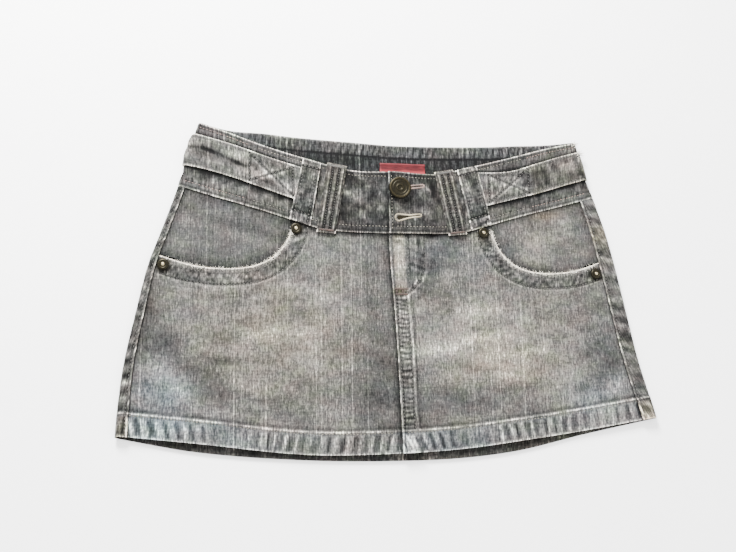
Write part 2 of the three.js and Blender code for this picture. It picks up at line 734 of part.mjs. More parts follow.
function pocketRivet({ name, x, y }) {
  const side = x < 0 ? "right" : "left";
  const around = steps(0, 2 * Math.PI, 12).map((angle) => [
    x + RIVET_RADIUS * Math.cos(angle), y + RIVET_RADIUS * Math.sin(angle),
  ]);
  const under = Math.max(...around.map(([px, py]) => frontLow(side, px, py, ABOVE_HEM)));
  const profile = [
    [0, 0], [RIVET_RADIUS, 0], [RIVET_RADIUS, 0.5], [RIVET_RADIUS - 1, 1.3],
    [2.6, 1.2], [1.7, 1.5], [1.1, 2], [0, 2.1],
  ];
  addTurned(name, materials.brass, profile, 20, x, y, under + DENIM + SEAM_GAP);
}

for (const side of Object.keys(SIDES)) {
  backPanel(side);
  pocketFacing(side);
  frontPanel(side);
  waistbandFront(side);
  strap(side);
  bandLoop("loop_wide_" + side, side, WIDE_LOOP[side], WIDE_LOOP_CLOTH, wideLoopRise(side), 10, 3);
  bandLoop("loop_narrow_" + side, side, NARROW_LOOP[side], NARROW_LOOP_CLOTH, narrowLoopRise(), 9, 3);
}
waistbandBack();
waistLabel();
flyZip();
flyButton();
RIVETS.forEach(pocketRivet);

// The origin is the middle of the skirt's underside.
const middle = new THREE.Box3().setFromObject(skirt).getCenter(new THREE.Vector3());
skirt.position.set(-middle.x, -middle.y, 0);

export default skirt;
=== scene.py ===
# %% [markdown]
# # A washed denim mini skirt, laid flat with its front up
#
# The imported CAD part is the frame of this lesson: every cloth piece, loop, button and rivet
# already has its place there. Here each plain solid gets the piece that a maker would know, with
# its creases, puckered seams, thread and worn edges. Cloth is made as fine sheets in mesh code,
# because its form is a smooth function of its place, and metal and thread are modelled by hand.

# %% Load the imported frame
import math

import bpy
import numpy as np
from mathutils import Matrix, Vector
from mathutils.bvhtree import BVHTree


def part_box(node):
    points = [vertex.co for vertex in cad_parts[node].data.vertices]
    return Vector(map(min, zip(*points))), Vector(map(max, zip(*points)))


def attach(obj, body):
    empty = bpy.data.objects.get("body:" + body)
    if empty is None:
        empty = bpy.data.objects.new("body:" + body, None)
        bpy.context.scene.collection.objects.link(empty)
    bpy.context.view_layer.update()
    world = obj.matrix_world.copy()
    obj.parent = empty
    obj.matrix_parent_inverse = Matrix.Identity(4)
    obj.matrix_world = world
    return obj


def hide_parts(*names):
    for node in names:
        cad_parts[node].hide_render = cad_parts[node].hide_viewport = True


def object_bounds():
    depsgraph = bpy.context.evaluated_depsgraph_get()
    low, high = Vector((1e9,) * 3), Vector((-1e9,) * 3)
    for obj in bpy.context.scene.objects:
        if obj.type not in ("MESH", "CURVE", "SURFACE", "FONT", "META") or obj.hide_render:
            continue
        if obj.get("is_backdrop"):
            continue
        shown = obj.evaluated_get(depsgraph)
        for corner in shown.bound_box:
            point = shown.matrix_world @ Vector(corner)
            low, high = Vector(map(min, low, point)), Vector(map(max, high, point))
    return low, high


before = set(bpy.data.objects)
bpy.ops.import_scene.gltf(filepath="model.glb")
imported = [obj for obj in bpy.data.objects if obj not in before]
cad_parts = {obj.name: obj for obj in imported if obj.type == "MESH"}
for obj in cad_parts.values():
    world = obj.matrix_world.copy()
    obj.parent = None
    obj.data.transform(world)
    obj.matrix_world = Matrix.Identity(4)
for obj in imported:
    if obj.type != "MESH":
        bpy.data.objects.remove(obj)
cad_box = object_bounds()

print("CAD box in metres:", [[round(x, 4) for x in corner] for corner in cad_box])

# %% [markdown]
# ## Units and the middle of the skirt
#
# The sizes below are millimetres from the centre front, as a pattern cutter reads them. The CAD
# part was centred after it was built, so the button's place in it gives the shift between both.

# %% Millimetres to metres
MM = 0.001
BUTTON = {"x": 6.1, "y": 98.2, "radius": 11}
low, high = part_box("button")
SHIFT = np.array([(low.x + high.x) / 2 / MM - BUTTON["x"], (low.y + high.y) / 2 / MM - BUTTON["y"], 0])


def metres(points):
    return (np.asarray(points, float) + SHIFT) * MM


print("the centre front lies at", SHIFT.round(2), "mm")

# %% [markdown]
# ## Camera
#
# The skirt is seen from above, by an eye that hangs over its hem, a little to its right. The
# eye's place and the three directions of the camera come from matching the skirt's outline.

# %% Camera
CAMERA_EYE = (-153.2, -132.0, 736.1)
CAMERA_RIGHT = (0.98567, -0.018336, 0.167663)
CAMERA_UP = (-0.014072, 0.981667, 0.190083)
CAMERA_BACK = (-0.168075, -0.189719, 0.967346)
camera_data = bpy.data.cameras.new("camera")
camera_data.sensor_width = 36
camera_data.lens = 39.13
camera = bpy.data.objects.new("camera", camera_data)
bpy.context.scene.collection.objects.link(camera)
turn = Matrix([CAMERA_RIGHT, CAMERA_UP, CAMERA_BACK]).transposed().to_4x4()
camera.matrix_world = Matrix.Translation(metres(CAMERA_EYE)) @ turn
bpy.context.scene.camera = camera
print("camera stands", round(camera.location.z, 3), "m above the floor")

# %% [markdown]
# ## Floor and light
#
# A product table: a pale floor, a bright soft sky and one large lamp beyond the waist. Its light
# rakes over the cloth from the top of the picture, so that seams and creases show as relief.


# %% Floor, sky and lamps
def srgb(red, green, blue):
    """A colour as painters' numbers from 0 to 255, in Blender's linear light."""
    share = np.array([red, green, blue]) / 255
    linear = np.where(share <= 0.04045, share / 12.92, ((share + 0.055) / 1.055) ** 2.4)
    return (*linear, 1.0)


def new_material(name):
    material = bpy.data.materials.new(name)
    material.use_nodes = True
    tree = material.node_tree
    return material, tree, tree.nodes["Principled BSDF"]


def node(tree, kind, inputs=(), **settings):
    """Adds a node; inputs are (socket, value or another node's output)."""
    made = tree.nodes.new("ShaderNode" + kind)
    for name, value in settings.items():
        setattr(made, name, value)
    for socket, value in inputs:
        if isinstance(value, bpy.types.NodeSocket):
            tree.links.new(value, made.inputs[socket])
        else:
            made.inputs[socket].default_value = value
    return made


def grain_on(tree, scale, detail=2.0):
    """Fine noise on the object's own coordinates."""
    place = node(tree, "TexCoord").outputs["Object"]
    inputs = [("Vector", place), ("Scale", scale), ("Detail", detail)]
    return node(tree, "TexNoise", inputs).outputs["Fac"]


def complete(tree, shader, colour, numbers, relief=None):
    """Links the colour and the relief to the shader, and sets its numbers."""
    tree.links.new(colour, shader.inputs["Base Color"])
    if relief:
        tree.links.new(relief.outputs["Normal"], shader.inputs["Normal"])
    for socket, number in numbers.items():
        shader.inputs[socket].default_value = number


def deselect():
    for thing in bpy.context.selected_objects:
        thing.select_set(False)


FLOOR_SIZE = 6
FLOOR_DROP = 0.0003
deselect()
bpy.ops.mesh.primitive_plane_add(size=FLOOR_SIZE, location=(0, 0, -FLOOR_DROP))
floor = bpy.context.object
floor.name = "floor"
floor_paint, tree, shader = new_material("pale floor")
tone = node(tree, "ValToRGB", [("Fac", grain_on(tree, 3, 3))])
tone.color_ramp.elements[0].color = srgb(246, 246, 246)
tone.color_ramp.elements[1].color = srgb(252, 252, 251)
complete(tree, shader, tone.outputs["Color"], {"Roughness": 0.9})
floor.data.materials.append(floor_paint)
floor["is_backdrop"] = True

SKY_STRENGTH = 2.7
world = bpy.data.worlds.new("studio")
world.use_nodes = True
background = world.node_tree.nodes["Background"]
background.inputs["Color"].default_value = (1, 1, 1, 1)
background.inputs["Strength"].default_value = SKY_STRENGTH
bpy.context.scene.world = world


def lamp(name, place, size, power):
    data = bpy.data.lights.new(name, "AREA")
    data.size = size
    data.energy = power
    thing = bpy.data.objects.new(name, data)
    bpy.context.scene.collection.objects.link(thing)
    thing.location = place
    thing.rotation_euler = (-Vector(place)).to_track_quat("-Z", "Y").to_euler()
    print(name, "lamp at", place)


lamp("key", (-0.4, 1.0, 0.62), 0.4, 105)
lamp("fill", (0.9, -0.6, 1.2), 1.0, 14)

# %% [markdown]
# ## The cut of the skirt
#
# A pattern is a set of curves. Each table gives one edge of the skirt at a few heights or
# distances, and `through` draws a smooth curve from it. These are the curves of the CAD part, so
# every sheet lies where its solid does. Only the front hem on the wearer's left hangs a little
# lower than in the solid, by 4 mm at most, as it does on the real skirt.


# %% Curves through a table
def through(table, over, column):
    """Smooth curve through one column of a table over another, straight on past its ends."""
    at, value = np.array(table[over], float), np.array(table[column], float)
    chord = np.diff(value) / np.diff(at)
    slope = np.concatenate([chord[:1], (chord[1:] + chord[:-1]) / 2, chord[-1:]])

    def curve(x):
        x = np.asarray(x, float)
        i = np.clip(np.searchsorted(at, x) - 1, 0, len(at) - 2)
        width = at[i + 1] - at[i]
        s = (x - at[i]) / width
        inside = value[i] * (1 + 2 * s) * (1 - s) ** 2 + value[i + 1] * s * s * (3 - 2 * s)
        inside += width * (slope[i] * s * (1 - s) ** 2 - slope[i + 1] * s * s * (1 - s))
        before = value[0] + slope[0] * (x - at[0])
        after = value[-1] + slope[-1] * (x - at[-1])
        return np.where(x < at[0], before, np.where(x > at[-1], after, inside))

    return curve


def smooth(start, end, x):
    """Soft step from 0 at start to 1 at end."""
    s = np.clip((np.asarray(x, float) - start) / (end - start), 0, 1)
    return s * s * (3 - 2 * s)


def bump(x, middle, width):
    return np.exp(-(((x - middle) / width) ** 2))


# %% Edges of the cut
SIDES = {"right": -1, "left": 1}
SIDE_EDGE = {
    "y": [-134, -108, -70, -25, 20, 60, 95, 125, 156],
    "right": [251.1, 249.8, 246, 237.6, 228, 214.7, 203.7, 198.2, 188.5],
    "left": [258.5, 252.3, 242.6, 234.2, 226.2, 217.6, 207.3, 199.2, 193],
}
HEM_EDGE = {
    "x": [-251, -182, -81, 0, 60, 115, 180, 256],
    "front": [-132.5, -140.5, -152.5, -153, -150.2, -144.2, -135.8, -124.3],
    "back": [-134.5, -148, -157.5, -159.8, -158.6, -153, -139.5, -125.3],
}
BAND_TOP = {
    "x": [-188, -160, -125, -85, -40, 0, 40, 85, 125, 160, 193],
    "front": [157.6, 148.8, 136.6, 125.6, 115.2, 115.2, 114, 124.6, 135.4, 145.6, 153.4],
    "back": [158.4, 151, 149.2, 146.8, 144.8, 143, 143.5, 145.2, 147.4, 149.8, 154.2],
}
BAND_BOTTOM = {
    "x": [0, 55, 74, 100, 131, 168, 205],
    "front": [53.4, 54.8, 57.4, 65.2, 74.6, 84.5, 95],
    "back": [82, 83, 83.8, 85.2, 87.4, 90.8, 95],
}
CENTRE_FRONT = {"y": [-154, -49, 54, 116], "x": [3.7, 0.4, -5, -4]}
SEAM_LAP = {
    "y": [-130, -70, 0, 40, 95],
    "right": [10.5, 8.5, 7, 6.5, 6.5],
    "left": [15, 15.5, 16, 16, 14.5],
}
STRAP_EDGES = {
    "x": [79, 120, 150, 178, 200],
    "topRight": [113, 124.6, 134.6, 142.4, 147],
    "bottomRight": [79.4, 92.5, 102.6, 110.4, 114.6],
    "topLeft": [116.8, 119.6, 129.4, 138.4, 144.2],
    "bottomLeft": [79.6, 90.3, 98.4, 107.4, 114],
}
BAND_SIDE_BOTTOM = 95
BAND_SIDE_TOP = {"right": 157.9, "left": 153.7}
HEM_SIDE = {"right": -133.6, "left": -124.9}

side_edge = {side: through(SIDE_EDGE, "y", side) for side in SIDES}
seam_lap = {side: through(SEAM_LAP, "y", side) for side in SIDES}
hem_front = through(HEM_EDGE, "x", "front")
hem_back = through(HEM_EDGE, "x", "back")
band_top_front = through(BAND_TOP, "x", "front")
band_top_back = through(BAND_TOP, "x", "back")
front_bottom_curve = through(BAND_BOTTOM, "x", "front")
back_bottom_curve = through(BAND_BOTTOM, "x", "back")
centre_front = through(CENTRE_FRONT, "y", "x")
strap_top = {side: through(STRAP_EDGES, "x", "top" + side.capitalize()) for side in SIDES}
strap_bottom = {side: through(STRAP_EDGES, "x", "bottom" + side.capitalize()) for side in SIDES}


def band_bottom_front(x):
    return front_bottom_curve(np.abs(x))


def band_bottom_back(x):
    return back_bottom_curve(np.abs(x))


print("hem is", HEM_EDGE["x"][-1] - HEM_EDGE["x"][0], "mm wide, and the front is",
      round(float(band_top_front(0) - hem_front(0))), "mm long")

# %% [markdown]
# ## How the layers lie
#
# Laid flat, the skirt is one flattened tube: the back panels lie on the floor, turn up at each
# side and lap over the front. Everything sewn on adds a layer, so the heights add up from there.

# %% Thickness and level of each layer
DENIM, BAND_CLOTH, FACING_CLOTH, STRAP_CLOTH, LABEL_CLOTH = 1.2, 1.8, 1.0, 1.5, 1.0
SEAM_GAP, LAP_GAP = 0.3, 0.42
FRONT_LEVEL, FACING_LEVEL, FRONT_BAND_LEVEL = 2.8, 2.65, 3.4
STRAP_LIFT = STRAP_CLOTH + SEAM_GAP
FRONT_BAND_STRAP_LIFT = 0.8
FLY_LIFT = DENIM + LAP_GAP
POCKET_LIFT = FACING_CLOTH + SEAM_GAP
BAND_OVERLAP_LIFT = BAND_CLOTH + SEAM_GAP
HEM_HEIGHT, HEM_STEP, ABOVE_HEM = 20, 2, 40
HEM_FRONT_RISE, HEM_FRONT_DROP, HEM_BACK_RISE = 0.9, 0.3, 0.6
PANEL_UNDERLAP, BAND_UNDERLAP, BAND_OVERLAP_RAMP = 10, 35, 13
BAND_CENTRE_X, BAND_JOIN = -4.4, 0.7
FLY_WIDTH, FELL_WIDTH, FLY_END, FLY_RAMP = 30, 15, -2, 8
SEAM_TUCK = 6
STRAP_INNER_END = {"right": 84, "left": 80}
STRAP_OUTER_X, STRAP_BACK_LENGTH = 200, 46
STRAP_RISE = {"from": 92, "to": 128, "below": 4, "ramp": 12}


def hem_share(up):
    return 1 - smooth(HEM_HEIGHT, HEM_HEIGHT + HEM_STEP, up)


def back_cloth(up):
    return DENIM + HEM_BACK_RISE * hem_share(up)


def front_cloth(up):
    return DENIM + (HEM_FRONT_RISE + HEM_FRONT_DROP) * hem_share(up)


def lap_low(up):
    return FRONT_LEVEL + DENIM + SEAM_GAP + HEM_FRONT_RISE * hem_share(up)


def fold_radius(up):
    return (lap_low(up) + back_cloth(up)) / 2


def fold_centre(side, y, up):
    return side_edge[side](y) - fold_radius(up)


def seam_x(side, y):
    return side_edge[side](y) - seam_lap[side](y)


# %% [markdown]
# ## Pocket openings
#
# Each front pocket is a scoop cut out of the front panel. Its edge is a Catmull-Rom curve through
# eight points, measured again in even steps so that seams can follow it at a fixed distance.

# %% Pocket opening
POCKET_INNER_X = 97.5
POCKET_EDGE = {
    "outwards": [0, 0.022, 0.075, 0.17, 0.31, 0.52, 0.78, 1],
    "y": [64.2, 50, 38, 26.5, 19.2, 16.6, 20.2, 28.5],
}
FACING_MARGIN = {"along": [0, 0.3, 0.6, 0.8, 0.86, 1], "width": [11, 13, 18, 8, -0.5, -0.5]}
POCKET_RAMP = 9
OPENING_SAMPLES = 160
facing_margin = through(FACING_MARGIN, "along", "width")


def rounded_line(corners, count):
    """Centripetal Catmull-Rom curve through the corners, in even steps of its length."""
    p = np.vstack([2 * corners[0] - corners[1], corners, 2 * corners[-1] - corners[-2]])
    pieces = []
    for i in range(len(corners) - 1):
        before, a, b, after = p[i:i + 4]
        gap = [np.sqrt(np.linalg.norm(q - r)) for q, r in ((a, before), (b, a), (after, b))]
        leave = ((a - before) / gap[0] - (b - before) / (gap[0] + gap[1]) + (b - a) / gap[1]) * gap[1]
        reach = ((b - a) / gap[1] - (after - a) / (gap[1] + gap[2]) + (after - b) / gap[2]) * gap[1]
        t = np.linspace(0, 1, 41)[:, None]
        curve = a + leave * t + (-3 * a + 3 * b - 2 * leave - reach) * t**2
        pieces.append((curve + (2 * a - 2 * b + leave + reach) * t**3)[(i > 0):])
    return even_steps(np.vstack(pieces), count)


def even_steps(line, count):
    run = np.concatenate([[0], np.cumsum(np.linalg.norm(np.diff(line, axis=0), axis=1))])
    at = np.linspace(0, run[-1], count + 1)
    return np.stack([np.interp(at, run, line[:, k]) for k in range(line.shape[1])], 1)


def line_length(line):
    return np.linalg.norm(np.diff(line, axis=0), axis=1).sum()


def directions(line):
    """Unit direction of a line of points at each of its points."""
    run = np.gradient(line, axis=0)
    return run / np.linalg.norm(run, axis=1)[:, None]


pocket_line = {}
for side in SIDES:
    end = float(seam_x(side, POCKET_EDGE["y"][-1]))
    outwards = np.array(POCKET_EDGE["outwards"])
    corners = np.stack([POCKET_INNER_X + (end - POCKET_INNER_X) * outwards, POCKET_EDGE["y"]], 1)
    pocket_line[side] = rounded_line(corners, OPENING_SAMPLES)
    print(side, "pocket opening is", round(line_length(pocket_line[side])), "mm round")


def near_line(line, x, y):
    """Distance to a line of points, the share of the way along it, and the side it lies on."""
    a, run = line[:-1], np.diff(line, axis=0)
    length = np.linalg.norm(run, axis=1)
    from_x, from_y = x[..., None] - a[:, 0], y[..., None] - a[:, 1]
    t = np.clip((from_x * run[:, 0] + from_y * run[:, 1]) / length**2, 0, 1)
    away = np.hypot(from_x - t * run[:, 0], from_y - t * run[:, 1])
    nearest = np.argmin(away, axis=-1)[..., None]
    pick = lambda values: np.take_along_axis(values, nearest, -1)[..., 0]
    start = np.cumsum(length) - length
    i = nearest[..., 0]
    along = (start[i] + pick(t) * length[i]) / length.sum()
    side_of = np.sign(run[i, 0] * pick(from_y) - run[i, 1] * pick(from_x))
    return pick(away), along, side_of


# %% [markdown]
# ## Soft forms of the front
#
# The largest folds are in the CAD part too. The lap of the fly and the pocket bags lift the front
# where cloth lies over cloth.

# %% Level of the front
# start, end, width and height of each fold
FOLDS = [
    ((-236, -66), (-150, -138), 11, 1.1),
    ((-222, -22), (-128, -112), 13, 0.8),
    ((-150, -84), (-96, -126), 14, 0.6),
    ((236, -70), (152, -116), 12, 1),
    ((208, -8), (104, -42), 15, 0.7),
    ((44, -118), (120, -92), 16, 0.6),
    ((-120, 6), (-40, -26), 15, 0.6),
]


def inside_seam(side, x, y, start=2, end=18):
    return smooth(start, end, seam_x(side, y) - np.abs(x))


def fold_height(side, x, y):
    height = 0
    for start, end, width, highest in FOLDS:
        run = np.subtract(end, start)
        length = np.hypot(*run)
        along = ((x - start[0]) * run[0] + (y - start[1]) * run[1]) / length**2
        across = ((x - start[0]) * run[1] - (y - start[1]) * run[0]) / length
        ends = smooth(-0.1, 0.35, along) * smooth(-0.1, 0.35, 1 - along)
        height = height + highest * ends * bump(across, 0, width)
    return height * inside_seam(side, x, y)


def pocket_height(side, x, y):
    away, along, _ = near_line(pocket_line[side], np.abs(x), y)
    fade = 1 - smooth(0.87, 0.99, along)
    reach = np.maximum(facing_margin(along), 0) + 3
    return POCKET_LIFT * fade * (1 - smooth(reach, reach + POCKET_RAMP, away))


def lap_height(x, y, up):
    width = FELL_WIDTH + (FLY_WIDTH - FELL_WIDTH) * smooth(FLY_END - 12, FLY_END, y)
    lift = FLY_LIFT + (HEM_FRONT_RISE + HEM_FRONT_DROP) * hem_share(up)
    return lift * (1 - smooth(width, width + FLY_RAMP, x - centre_front(y)))


def front_low(side, x, y, up):
    lift = pocket_height(side, x, y)
    if side == "left":
        lift = np.maximum(lift, lap_height(x, y, up))
    return FRONT_LEVEL + lift + fold_height(side, x, y) - HEM_FRONT_DROP * hem_share(up)


# %% Level of the waistband
def strap_share(side, out, y):
    """How far the band is lifted at this distance out, where the tab lies on it."""
    edge = strap_bottom[side](np.clip(out, STRAP_INNER_END[side], STRAP_OUTER_X))
    full = edge - STRAP_RISE["below"]
    across = smooth(STRAP_RISE["from"], STRAP_RISE["to"], out)
    return across * smooth(0, STRAP_RISE["ramp"], y - full + STRAP_RISE["ramp"])


def band_overlap(x):
    past = x - BAND_CENTRE_X - 2
    return BAND_OVERLAP_LIFT * (1 - smooth(BAND_UNDERLAP, BAND_UNDERLAP + BAND_OVERLAP_RAMP, past))


def front_band_low(side, x, y):
    over = band_overlap(x) if side == "left" else 0
    return FRONT_BAND_LEVEL + FRONT_BAND_STRAP_LIFT * strap_share(side, np.abs(x), y) + over


def band_fold(side, y):
    """Side fold of the waistband: radius, height and distance of its middle."""
    out = side_edge[side](y)
    share = strap_share(side, out, y)
    back = STRAP_LIFT * share
    radius = (FRONT_BAND_LEVEL + FRONT_BAND_STRAP_LIFT * share - back - BAND_CLOTH) / 2 + BAND_CLOTH
    return radius, back + radius, out - radius - back


def band_front_place(side, across, share):
    """Place on the front of the band: across from the centre edge to the fold, and up."""
    way = SIDES[side]

    def x_at(s):
        side_y = BAND_SIDE_BOTTOM + (BAND_SIDE_TOP[side] - BAND_SIDE_BOTTOM) * s
        outer = way * band_fold(side, side_y)[2]
        inside = BAND_CENTRE_X + (outer - BAND_CENTRE_X) * np.maximum(across, 0)
        return inside + way * BAND_UNDERLAP * np.minimum(across, 0)

    bottom, top = band_bottom_front(x_at(0)), band_top_front(x_at(1))
    return x_at(share), bottom + (top - bottom) * share


# %% [markdown]
# ## Soft noise and seam waves
#
# Sewn denim puckers: the thread draws the cloth in, and after many washes a seam has small uneven
# ribs. `noise` is a smooth random field with a fixed seed, and `ripple` is an uneven wave made
# from it, so the same skirt is made each run.

# %% Noise and ripples
LATTICE_SIZE = 97
LATTICE = np.random.RandomState(11).rand(LATTICE_SIZE, LATTICE_SIZE)


def noise(u, v=0.0, seed=0):
    """Soft noise from -1 to 1."""
    u, v = np.broadcast_arrays(np.asarray(u, float) + 13.7 * seed, np.asarray(v, float) + 7.3 * seed)
    i, j = np.floor(u).astype(int), np.floor(v).astype(int)
    s, t = u - i, v - j
    s, t = s * s * (3 - 2 * s), t * t * (3 - 2 * t)
    value = lambda a, b: LATTICE[a % LATTICE_SIZE, b % LATTICE_SIZE]
    near = value(i, j) * (1 - s) + value(i + 1, j) * s
    far = value(i, j + 1) * (1 - s) + value(i + 1, j + 1) * s
    return 2 * (near * (1 - t) + far * t) - 1


def ripple(run, wave, seed, v=0.0):
    """Uneven waves along a seam, about one crest in each wave's length."""
    phase = run / wave + 0.5 * noise(run / (2.3 * wave), v, seed)
    return np.sin(2 * np.pi * phase) * (0.65 + 0.35 * noise(run / (1.6 * wave), v, seed + 3))


# %% [markdown]
# ## What each point of the cloth carries
#
# Besides its place, each point has four numbers, which the denim material reads as an attribute:
# wear (rubbed light), shade (dirt and dye left in a hollow, and painted shadow where an edge of
# cloth lies over the cloth), tint (0 blue, 0.5 plain, 1 brown) and fade (how far the whole area
# has washed out). Ridges rub light and hollows stay dark, so the same relief that shapes the mesh
# also colours it.


# %% Finish of the cloth
class Finish:
    """Relief in millimetres and the four numbers of the look, on a grid of points."""

    def __init__(self, shape, fade=0.5):
        self.relief = np.zeros(shape)
        self.wear = np.zeros(shape)
        self.shade = np.zeros(shape)
        self.tint = np.full(shape, 0.5)
        self.fade = np.full(shape, float(fade))

    def raise_by(self, relief, wear=0.0, shade=0.0):
        """Adds relief; its ridges get wear and its hollows get shade, per millimetre."""
        self.relief += relief
        self.wear += wear * np.maximum(relief, 0)
        self.shade += shade * np.maximum(-relief, 0)

    def stitched(self, away, depth=0.3, width=0.9, shade=0.2):
        """The hollow along a line of stitches at this distance."""
        self.relief -= depth * bump(away, 0, width)
        self.shade += shade * bump(away, 0, width * 0.8)

    def look(self):
        parts = [self.wear, self.shade, self.tint, self.fade]
        return np.stack([np.clip(part, 0, 1) for part in parts], -1)


# %% [markdown]
# ## From grids to a sheet of cloth
#
# A sheet is two grids of points, its upper and its lower face, closed by a rim. Its flat place
# goes to a UV map in metres, so that threads run along the cut also where the cloth is folded.


# %% Sheet of cloth
def cloth(name, outer, inner, flat, look, materials, inner_look=None, inner_material=0):
    rows, columns = outer.shape[:2]
    size = rows * columns
    at = np.arange(size).reshape(rows, columns)
    a, b, c, d = at[:-1, :-1], at[:-1, 1:], at[1:, 1:], at[1:, :-1]
    upper = np.stack([a, b, c, d], -1).reshape(-1, 4)
    lower = np.stack([a, d, c, b], -1).reshape(-1, 4) + size
    rim = np.concatenate([at[0, :-1], at[:-1, -1], at[-1, :0:-1], at[:0:-1, 0]])
    following = np.roll(rim, -1)
    walls = np.stack([following, rim, rim + size, following + size], -1)
    faces = np.concatenate([upper, lower, walls])
    points = metres(np.concatenate([outer.reshape(-1, 3), inner.reshape(-1, 3)]))
    p, q, r, s = (points[faces[:, k]] for k in range(4))
    volume = (p * np.cross(q, r)).sum() + (p * np.cross(r, s)).sum()
    if volume < 0:
        faces = faces[:, ::-1]
    mesh = bpy.data.meshes.new(name)
    mesh.from_pydata(points.tolist(), [], faces.tolist())
    corners = faces.ravel()
    uv = mesh.uv_layers.new(name="cloth")
    flat = np.concatenate([flat.reshape(-1, 2)] * 2) * MM
    uv.data.foreach_set("uv", flat[corners].ravel())
    looks = [look.reshape(-1, 4), (look if inner_look is None else inner_look).reshape(-1, 4)]
    mesh.color_attributes.new("look", "FLOAT_COLOR", "POINT").data.foreach_set(
        "color", np.concatenate(looks).ravel())
    for material in materials:
        mesh.materials.append(material)
    which = np.zeros(len(faces), int)
    which[len(upper):len(upper) + len(lower)] = inner_material
    mesh.polygons.foreach_set("material_index", which)
    mesh.shade_smooth()
    mesh.set_sharp_from_angle(angle=math.radians(60))
    mesh.update()
    piece = bpy.data.objects.new(name, mesh)
    bpy.context.scene.collection.objects.link(piece)
    return piece


def flat_area(flat):
    """Area of the flat cut in square millimetres, from its grid."""
    a, b, c, d = flat[:-1, :-1], flat[:-1, 1:], flat[1:, 1:], flat[1:, :-1]
    cross = lambda p, q: p[..., 0] * q[..., 1] - p[..., 1] * q[..., 0]
    return abs(cross(c - a, d - b).sum()) / 2


def with_height(x, y, z):
    return np.stack(np.broadcast_arrays(x, y, z), -1)


sheets = {}


def dress(name, outer, inner, flat, look, slot, materials, rests_on, **inner_face):
    """Makes the sheet that stands for the CAD node of the same name, and notes its flat cut."""
    piece = cloth(name + "_cloth", outer, inner, flat, look, materials, **inner_face)
    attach(piece, "root")
    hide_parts(name)
    size = np.ptp(flat.reshape(-1, 2), axis=0) * MM
    area = min(flat_area(flat) * MM * MM, float(size[0] * size[1]))
    sheets[name] = {"piece": piece, "flat": size, "area": area, "rests_on": rests_on, "sewn": []}
    print(name, "cut", (size * 1000).round(), "mm,", len(piece.data.polygons), "faces")


def dress_flat(name, x, y, low_z, thickness, finish, slot, material, rests_on, flat=None):
    """The same for a sheet without a fold: its cut is its place, and its upper face has the relief."""
    outer = with_height(x, y, low_z + thickness + finish.relief)
    cut = np.stack([x, y] if flat is None else flat, -1)
    dress(name, outer, with_height(x, y, low_z), cut, finish.look(), slot, [material], [rests_on])


# %% [markdown]
# ## Washed denim
#
# Denim has dark warp threads over pale weft threads in a steep twill, and the warp is slubby:
# some threads run thicker for a few centimetres and show as pale upright streaks. Stretched noise
# on the cloth's own UV map gives threads, slubs and a few long pale ones, and a fine slanted wave
# gives the twill. One number, the tone, sums them with the cloth's wear, shade and fade, and a
# colour ramp turns it into the black-grey, grey and off-white of a washed black denim.


# %% Denim material
def weighted(tree, parts, start):
    """The start plus each value times its weight."""
    total = start
    for value, weight in parts:
        inputs = [(0, value), (1, weight), (2, total)]
        total = node(tree, "Math", inputs, operation="MULTIPLY_ADD").outputs[0]
    return total


def threads(tree, width, length, detail=2.0, offset=0.0):
    """Noise stretched along the warp, by the size of its streaks in millimetres."""
    uv = node(tree, "UVMap", uv_map="cloth").outputs["UV"]
    scale = (1 / (width * MM), 1 / (length * MM), 1)
    place = node(tree, "Mapping", [("Vector", uv), ("Scale", scale), ("Location", (offset, offset, 0))])
    inputs = [("Vector", place.outputs[0]), ("Scale", 1.0), ("Detail", detail), ("Roughness", 0.6)]
    return node(tree, "TexNoise", inputs).outputs["Fac"]


def between(tree, value, low_in, high_in, low_out=0.0, high_out=1.0):
    inputs = [(0, value), (1, low_in), (2, high_in), (3, low_out), (4, high_out)]
    return node(tree, "MapRange", inputs).outputs[0]


def dyed(tree, colour, amount, dye):
    """The colour multiplied by a dye, as far as the amount says."""
    inputs = [(0, amount), (6, colour), (7, dye)]
    return node(tree, "Mix", inputs, data_type="RGBA", blend_type="MULTIPLY").outputs[2]


def blended(tree, colour, amount, other):
    inputs = [(0, amount), (6, colour), (7, other)]
    return node(tree, "Mix", inputs, data_type="RGBA").outputs[2]


TWILL_ANGLE = math.radians(63)
TWILL_PITCH = 0.9
WAVE_PERIOD = 0.314  # the length of one wave of Blender's wave texture at scale 1


def twill(tree):
    uv = node(tree, "UVMap", uv_map="cloth").outputs["UV"]
    turned = node(tree, "Mapping", [("Vector", uv), ("Rotation", (0, 0, TWILL_ANGLE))]).outputs[0]
    inputs = [("Vector", turned), ("Scale", WAVE_PERIOD / (TWILL_PITCH * MM)),
              ("Distortion", 1.2), ("Detail", 1.0), ("Detail Scale", 2.0)]
    return node(tree, "TexWave", inputs).outputs["Fac"]


